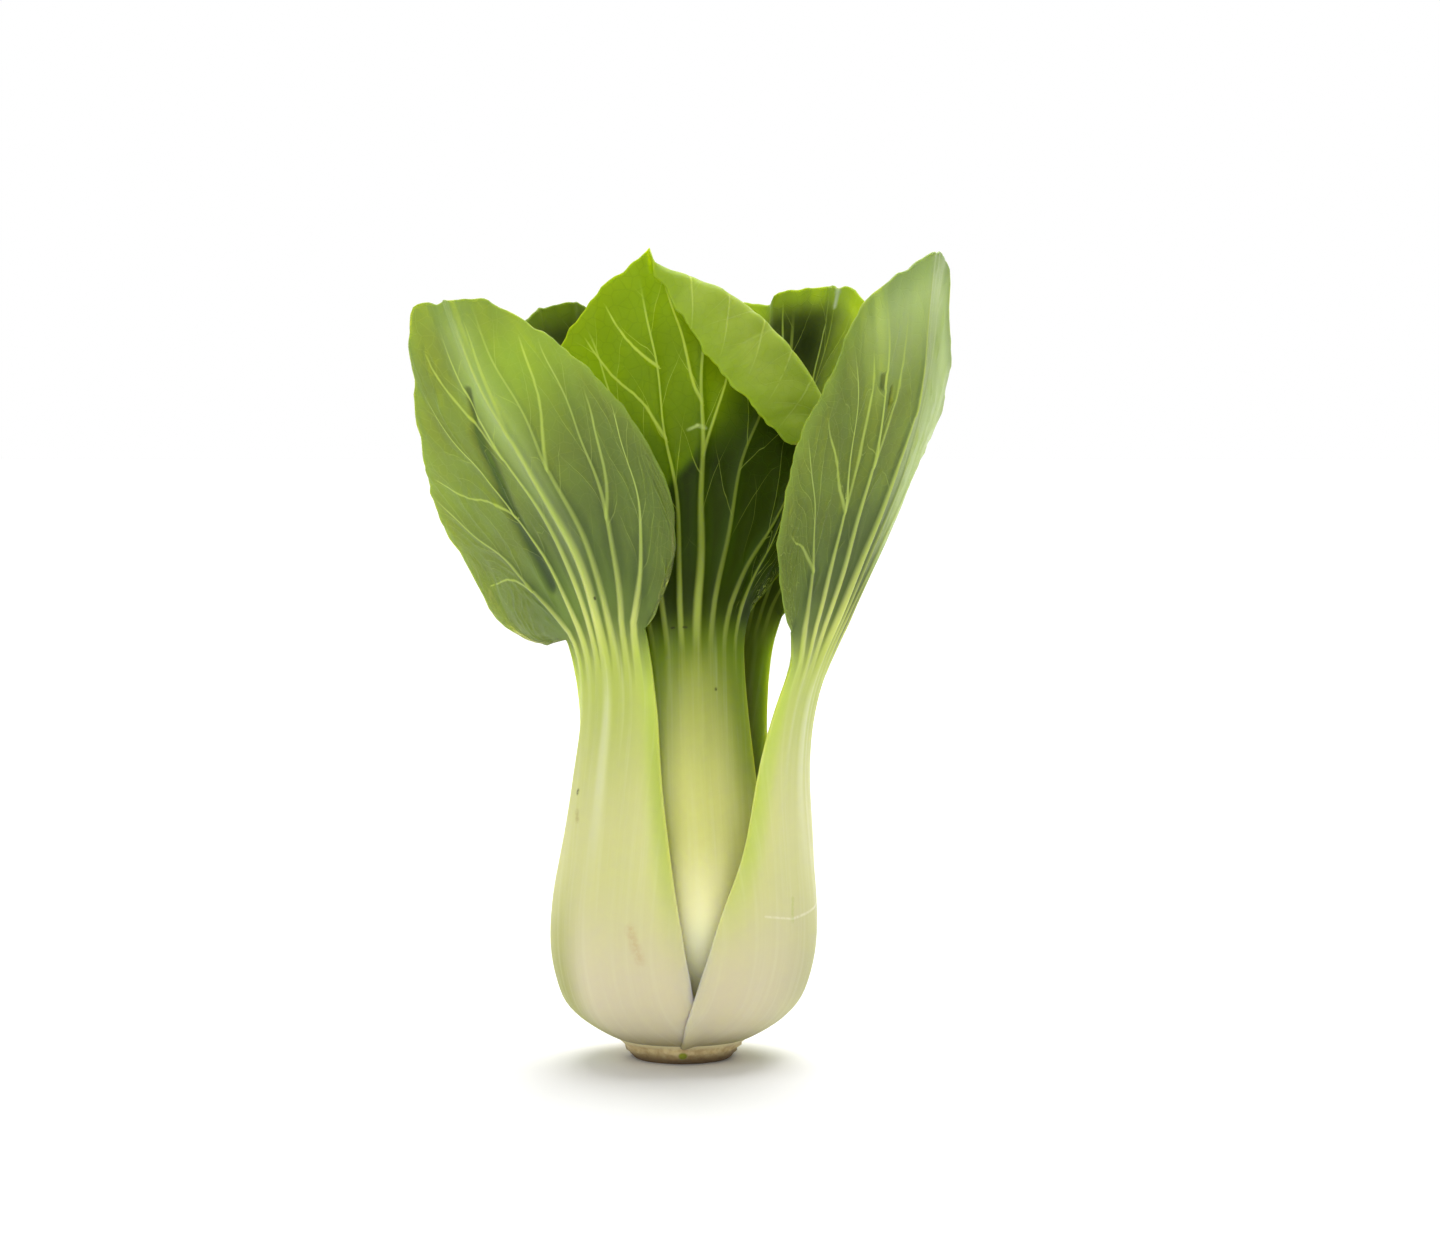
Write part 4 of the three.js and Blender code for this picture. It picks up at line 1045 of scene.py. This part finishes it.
def stalk_colour(n, at, look):
    """Near-white at the foot and greener up the stalk, with green sides, a ridge and streaks, and painted
    shade.
    """
    patches = n.noise(n.vector(at.x * 0.05, at.y * 0.02), 1, 3, 0.5)
    rise = (patches - 0.5) * 0.12 + at.q
    edge = n.smooth(look.edge_from, 1, at.across)
    edge = edge * n.smooth(look.edge_low, look.edge_low + 0.35, at.q)
    ridge = n.smooth(look.ridge, 0.02, at.across, 0, 0.35)
    ridge = ridge * n.smooth(0.4, 0.7, at.q) * n.smooth(0.98, 0.8, at.q)
    return n.layered(
        # browner at the butt, partly painted shade under the bulb and partly a blend into the stump, then
        # painted shade on one side
        look.butt, (n.smooth(0, 0.13, at.q), look.foot), (at.flank, look.flank),
        (n.smooth(0.2, 0.52, rise), look.stalk), (n.smooth(0.55, 0.98, rise), look.neck),
        (edge * 0.75, look.edge), (ridge, look.ridge_colour),
        (n.smooth(0.45, 0.75, at.fibres) * 0.15, look.streak),
        # painted shade at the neck, then painted sheen
        (at.dark * n.smooth(0.8, 1.05, at.q, 0, 0.85), SHADE_ON_STALK), (at.painted_sheen, look.painted_sheen),
    )


def blade_colour(n, at, look):
    """Green, lighter in patches and at the margin, with a fine net."""
    patches = n.noise(n.vector(at.x * 0.11, at.y * 0.11), 1, 4)
    return n.layered(
        look.inside, (at.outer, look.outside), (n.smooth(0.3, 0.75, patches, 0, 0.35), look.light),
        # painted shade, painted glow and painted sheen
        (at.dark, SHADE_ON_BLADE), (at.bright, look.bright), (at.painted_sheen, look.painted_sheen),
        (n.smooth(1.9, 2, at.q, 0, 0.5), look.light),
        (at.net * look.net * n.smooth(-0.5, 1, at.outer), look.net_colour),
    )


def veined(n, at, look, colour):
    """Painted shade in the grooves and beside the ribs, then side veins, then the ribs over them."""
    # painted shade in the grooves and along the ribs
    groove = n.math("MAXIMUM", at.groove * 0.9, at.beside * 0.4)
    vein = n.mix(at.outer, look.vein_inside, look.vein)
    rib = n.layered(look.rib, (n.smooth(1, 1.35, at.q), look.vein),
                    # painted shade on the ribs as well
                    (at.dark * n.smooth(1, 1.2, at.q, 0, 0.5), SHADE_ON_RIB))
    shown = n.smooth(at.dark * -0.22 + 0.92, 1.06, at.q, 0, 0.85)
    return n.layered(colour, (groove * (1 - at.painted_sheen), look.groove), (at.side, vein), (at.rib * shown, rib))


def marked(n, at, slot, colour):
    """The small blemishes of every leaf that has this material."""
    mottle = n.smooth(0.3, 0.6, n.noise(at.plane, 0.9, 4, 0.7), 0.25, 1)
    for number, leaf in enumerate(LEAVES):
        for kind, start, end, size in leaf.marks if leaf.slot == slot else []:
            mark_colour, strength = MARK_COLOURS[kind]
            on_leaf = n.math("COMPARE", at.number, number, 0.1) * at.outer * strength
            mark = n.line_mark(at.x, at.y, start, end, size) * on_leaf * mottle
            colour = n.mix(mark, colour, mark_colour)
    return colour


def leaf_material(slot, look):
    """A near-white stalk that runs into a veined green blade, which lets light through."""
    material = bpy.data.materials.new(slot)
    n = Nodes(material)
    at = leaf_values(n, look)
    start = at.q - at.rib * 0.12 + at.across * 0.05
    green = n.smooth(look.green_from, 1.09, start)
    colour = n.mix(green, stalk_colour(n, at, look), blade_colour(n, at, look))
    colour = marked(n, at, slot, veined(n, at, look, colour))

    height = at.side * 0.5 + at.grain * 0.1 + at.net * 0.15
    height = height + at.fibres * n.smooth(1.1, 0.9, at.q, 0, 0.35)
    dense = (at.dark * -0.8 + 1) * (at.painted_sheen * -0.6 + 1)
    shader = n.add("BsdfPrincipled", {
        "Base Color": colour, "IOR": 1.42, "Specular IOR Level": look.shine,
        "Roughness": n.smooth(0.3, 0.7, at.grain, look.rough - 0.05, look.rough + 0.08),
        "Normal": n.add("Bump", {"Height": height, "Strength": 0.5, "Distance": BUMP_DEPTH}),
        "Subsurface Weight": 1, "Subsurface Radius": look.depth,
        "Subsurface Scale": n.smooth(0.9, 1.1, at.q, STALK_DEPTH, look.through) * dense,
    })
    n.add("OutputMaterial", {"Surface": shader})
    return material


def base_material():
    """Dried cut stem: ringed pith with a browned rim, and a pale wall with scars and a green bud."""
    material = bpy.data.materials.new("cut_stem")
    n = Nodes(material)
    scar, bud, wall = n.values("scar")
    spot = n.add("TexCoord", {}, "Object")
    x, y, z = n.split(spot)
    radius = n.math("SQRT", x * x + y * y)
    mottle = n.noise(spot, 420, 5, 0.65)
    fine = n.noise(spot, 1500)
    rings = n.math("SINE", radius * PITH_RINGS + mottle * 5)
    pith = n.layered(rgb(214, 202, 160), (n.smooth(-1, 1, rings, 0, 0.35), rgb(170, 146, 96)),
                     (n.smooth(*BROWN_RIM, radius), rgb(112, 84, 48)))
    side = n.layered(
        rgb(232, 214, 160), (n.smooth(0.35, 0.7, mottle), rgb(204, 178, 126)),
        # darker towards the bottom of the wall
        (n.smooth(*DARKER_FOOT, z, 0, 0.9), rgb(104, 80, 50)),
        (n.smooth(0.25, 0.7, scar, 0, 0.6), rgb(222, 204, 156)),
        (n.smooth(*CLEAN_LIP, z, 0, 0.9), rgb(236, 226, 180)),
    )
    colour = n.layered(pith, (n.smooth(0, 0.15, wall), side), (n.smooth(0.2, 0.6, bud), rgb(138, 150, 26)))
    shader = n.add("BsdfPrincipled", {
        "Base Color": colour, "Roughness": n.smooth(0.3, 0.7, fine, 0.62, 0.85),
        "Normal": n.add("Bump", {"Height": fine * 0.4 + mottle, "Strength": 0.6, "Distance": 0.0005}),
        "Subsurface Weight": 0.3, "Subsurface Radius": (1, 0.8, 0.4), "Subsurface Scale": 0.001,
    })
    n.add("OutputMaterial", {"Surface": shader})
    return material


# ---- floor, light and camera --------------------------------------------------------------------

FLOOR_REACH = 20.0        # metres to each side
ROOM_LIGHT = 0.35
SUN_STRENGTH = 3.4
SUN_SPREAD = 55           # degrees across the sky
SUN_TILT = (-22, 0, -12)  # degrees
SOFT_BOXES = [            # name, place and size in metres, watts
    ("soft_front", (-0.25, -1.2, 0.75), (0.8, 0.8), 6.5),
    ("panel_behind", (-0.15, 1.2, 0.45), (1.8, 1.0), 10.0),
]
LIGHT_AIM = Vector((0, 0, 0.09))

PICTURE_WIDTH = 1440      # pixels
PIXELS_PER_MM = 4.248     # at the head's axis
CAMERA_DISTANCE = 850     # mm
CAMERA_ELEVATION = math.radians(3)
CAMERA_AIM = (8.9, 0, 102.5)


def white_floor():
    mesh = bpy.data.meshes.new("floor")
    corners = [(x * FLOOR_REACH, y * FLOOR_REACH, 0) for x, y in ((-1, -1), (1, -1), (1, 1), (-1, 1))]
    mesh.from_pydata(corners, [], [(0, 1, 2, 3)])
    floor = add_object("floor", mesh)
    material = bpy.data.materials.new("white_floor")
    n = Nodes(material)
    n.add("OutputMaterial", {
        "Surface": n.add("BsdfPrincipled", {"Base Color": PAPER, "Roughness": 0.8}),
    })
    mesh.materials.append(material)


def white_room():
    """A soft light from all round, seen by the camera as plain white."""
    world = bpy.data.worlds.new("white_room")
    bpy.context.scene.world = world
    n = Nodes(world)
    seen = n.add("LightPath", {}, "Is Camera Ray")
    room, backdrop = (n.add("Background", {"Color": WHITE, "Strength": s}) for s in (ROOM_LIGHT, 1.0))
    n.add("OutputWorld", {0: n.add("MixShader", {0: seen, 1: room, 2: backdrop})})


def lights():
    """A broad light from behind and above, a soft one in front and a panel behind."""
    sun = bpy.data.lights.new("light_behind", "SUN")
    sun.energy = SUN_STRENGTH
    sun.angle = math.radians(SUN_SPREAD)
    add_object("light_behind", sun).rotation_euler = [math.radians(angle) for angle in SUN_TILT]
    for name, spot, size, power in SOFT_BOXES:
        light = bpy.data.lights.new(name, "AREA")
        light.shape = "RECTANGLE"
        light.size, light.size_y = size
        light.energy = power
        box = add_object(name, light)
        box.location = spot
        box.rotation_euler = (LIGHT_AIM - Vector(spot)).to_track_quat("-Z", "Y").to_euler()
        box.visible_camera = False


def camera():
    """Level with the leaves and looking slightly down."""
    data = bpy.data.cameras.new("camera")
    data.sensor_width = 36
    data.lens = data.sensor_width * PIXELS_PER_MM * CAMERA_DISTANCE / PICTURE_WIDTH
    eye = add_object("camera", data)
    back, up = math.cos(CAMERA_ELEVATION), math.sin(CAMERA_ELEVATION)
    eye.location = (Vector(CAMERA_AIM) + CAMERA_DISTANCE * Vector((0, -back, up))) * MM
    eye.rotation_euler = (math.radians(90) - CAMERA_ELEVATION, 0, 0)
    bpy.context.scene.camera = eye
    bpy.context.scene.view_settings.view_transform = "Standard"


camera()
white_floor()
white_room()
lights()
base_piece(base_material())
materials = {slot: leaf_material(slot, SimpleNamespace(**look)) for slot, look in LOOKS.items()}
for leaf in LEAVES:
    leaf_piece(leaf, materials[leaf.slot])
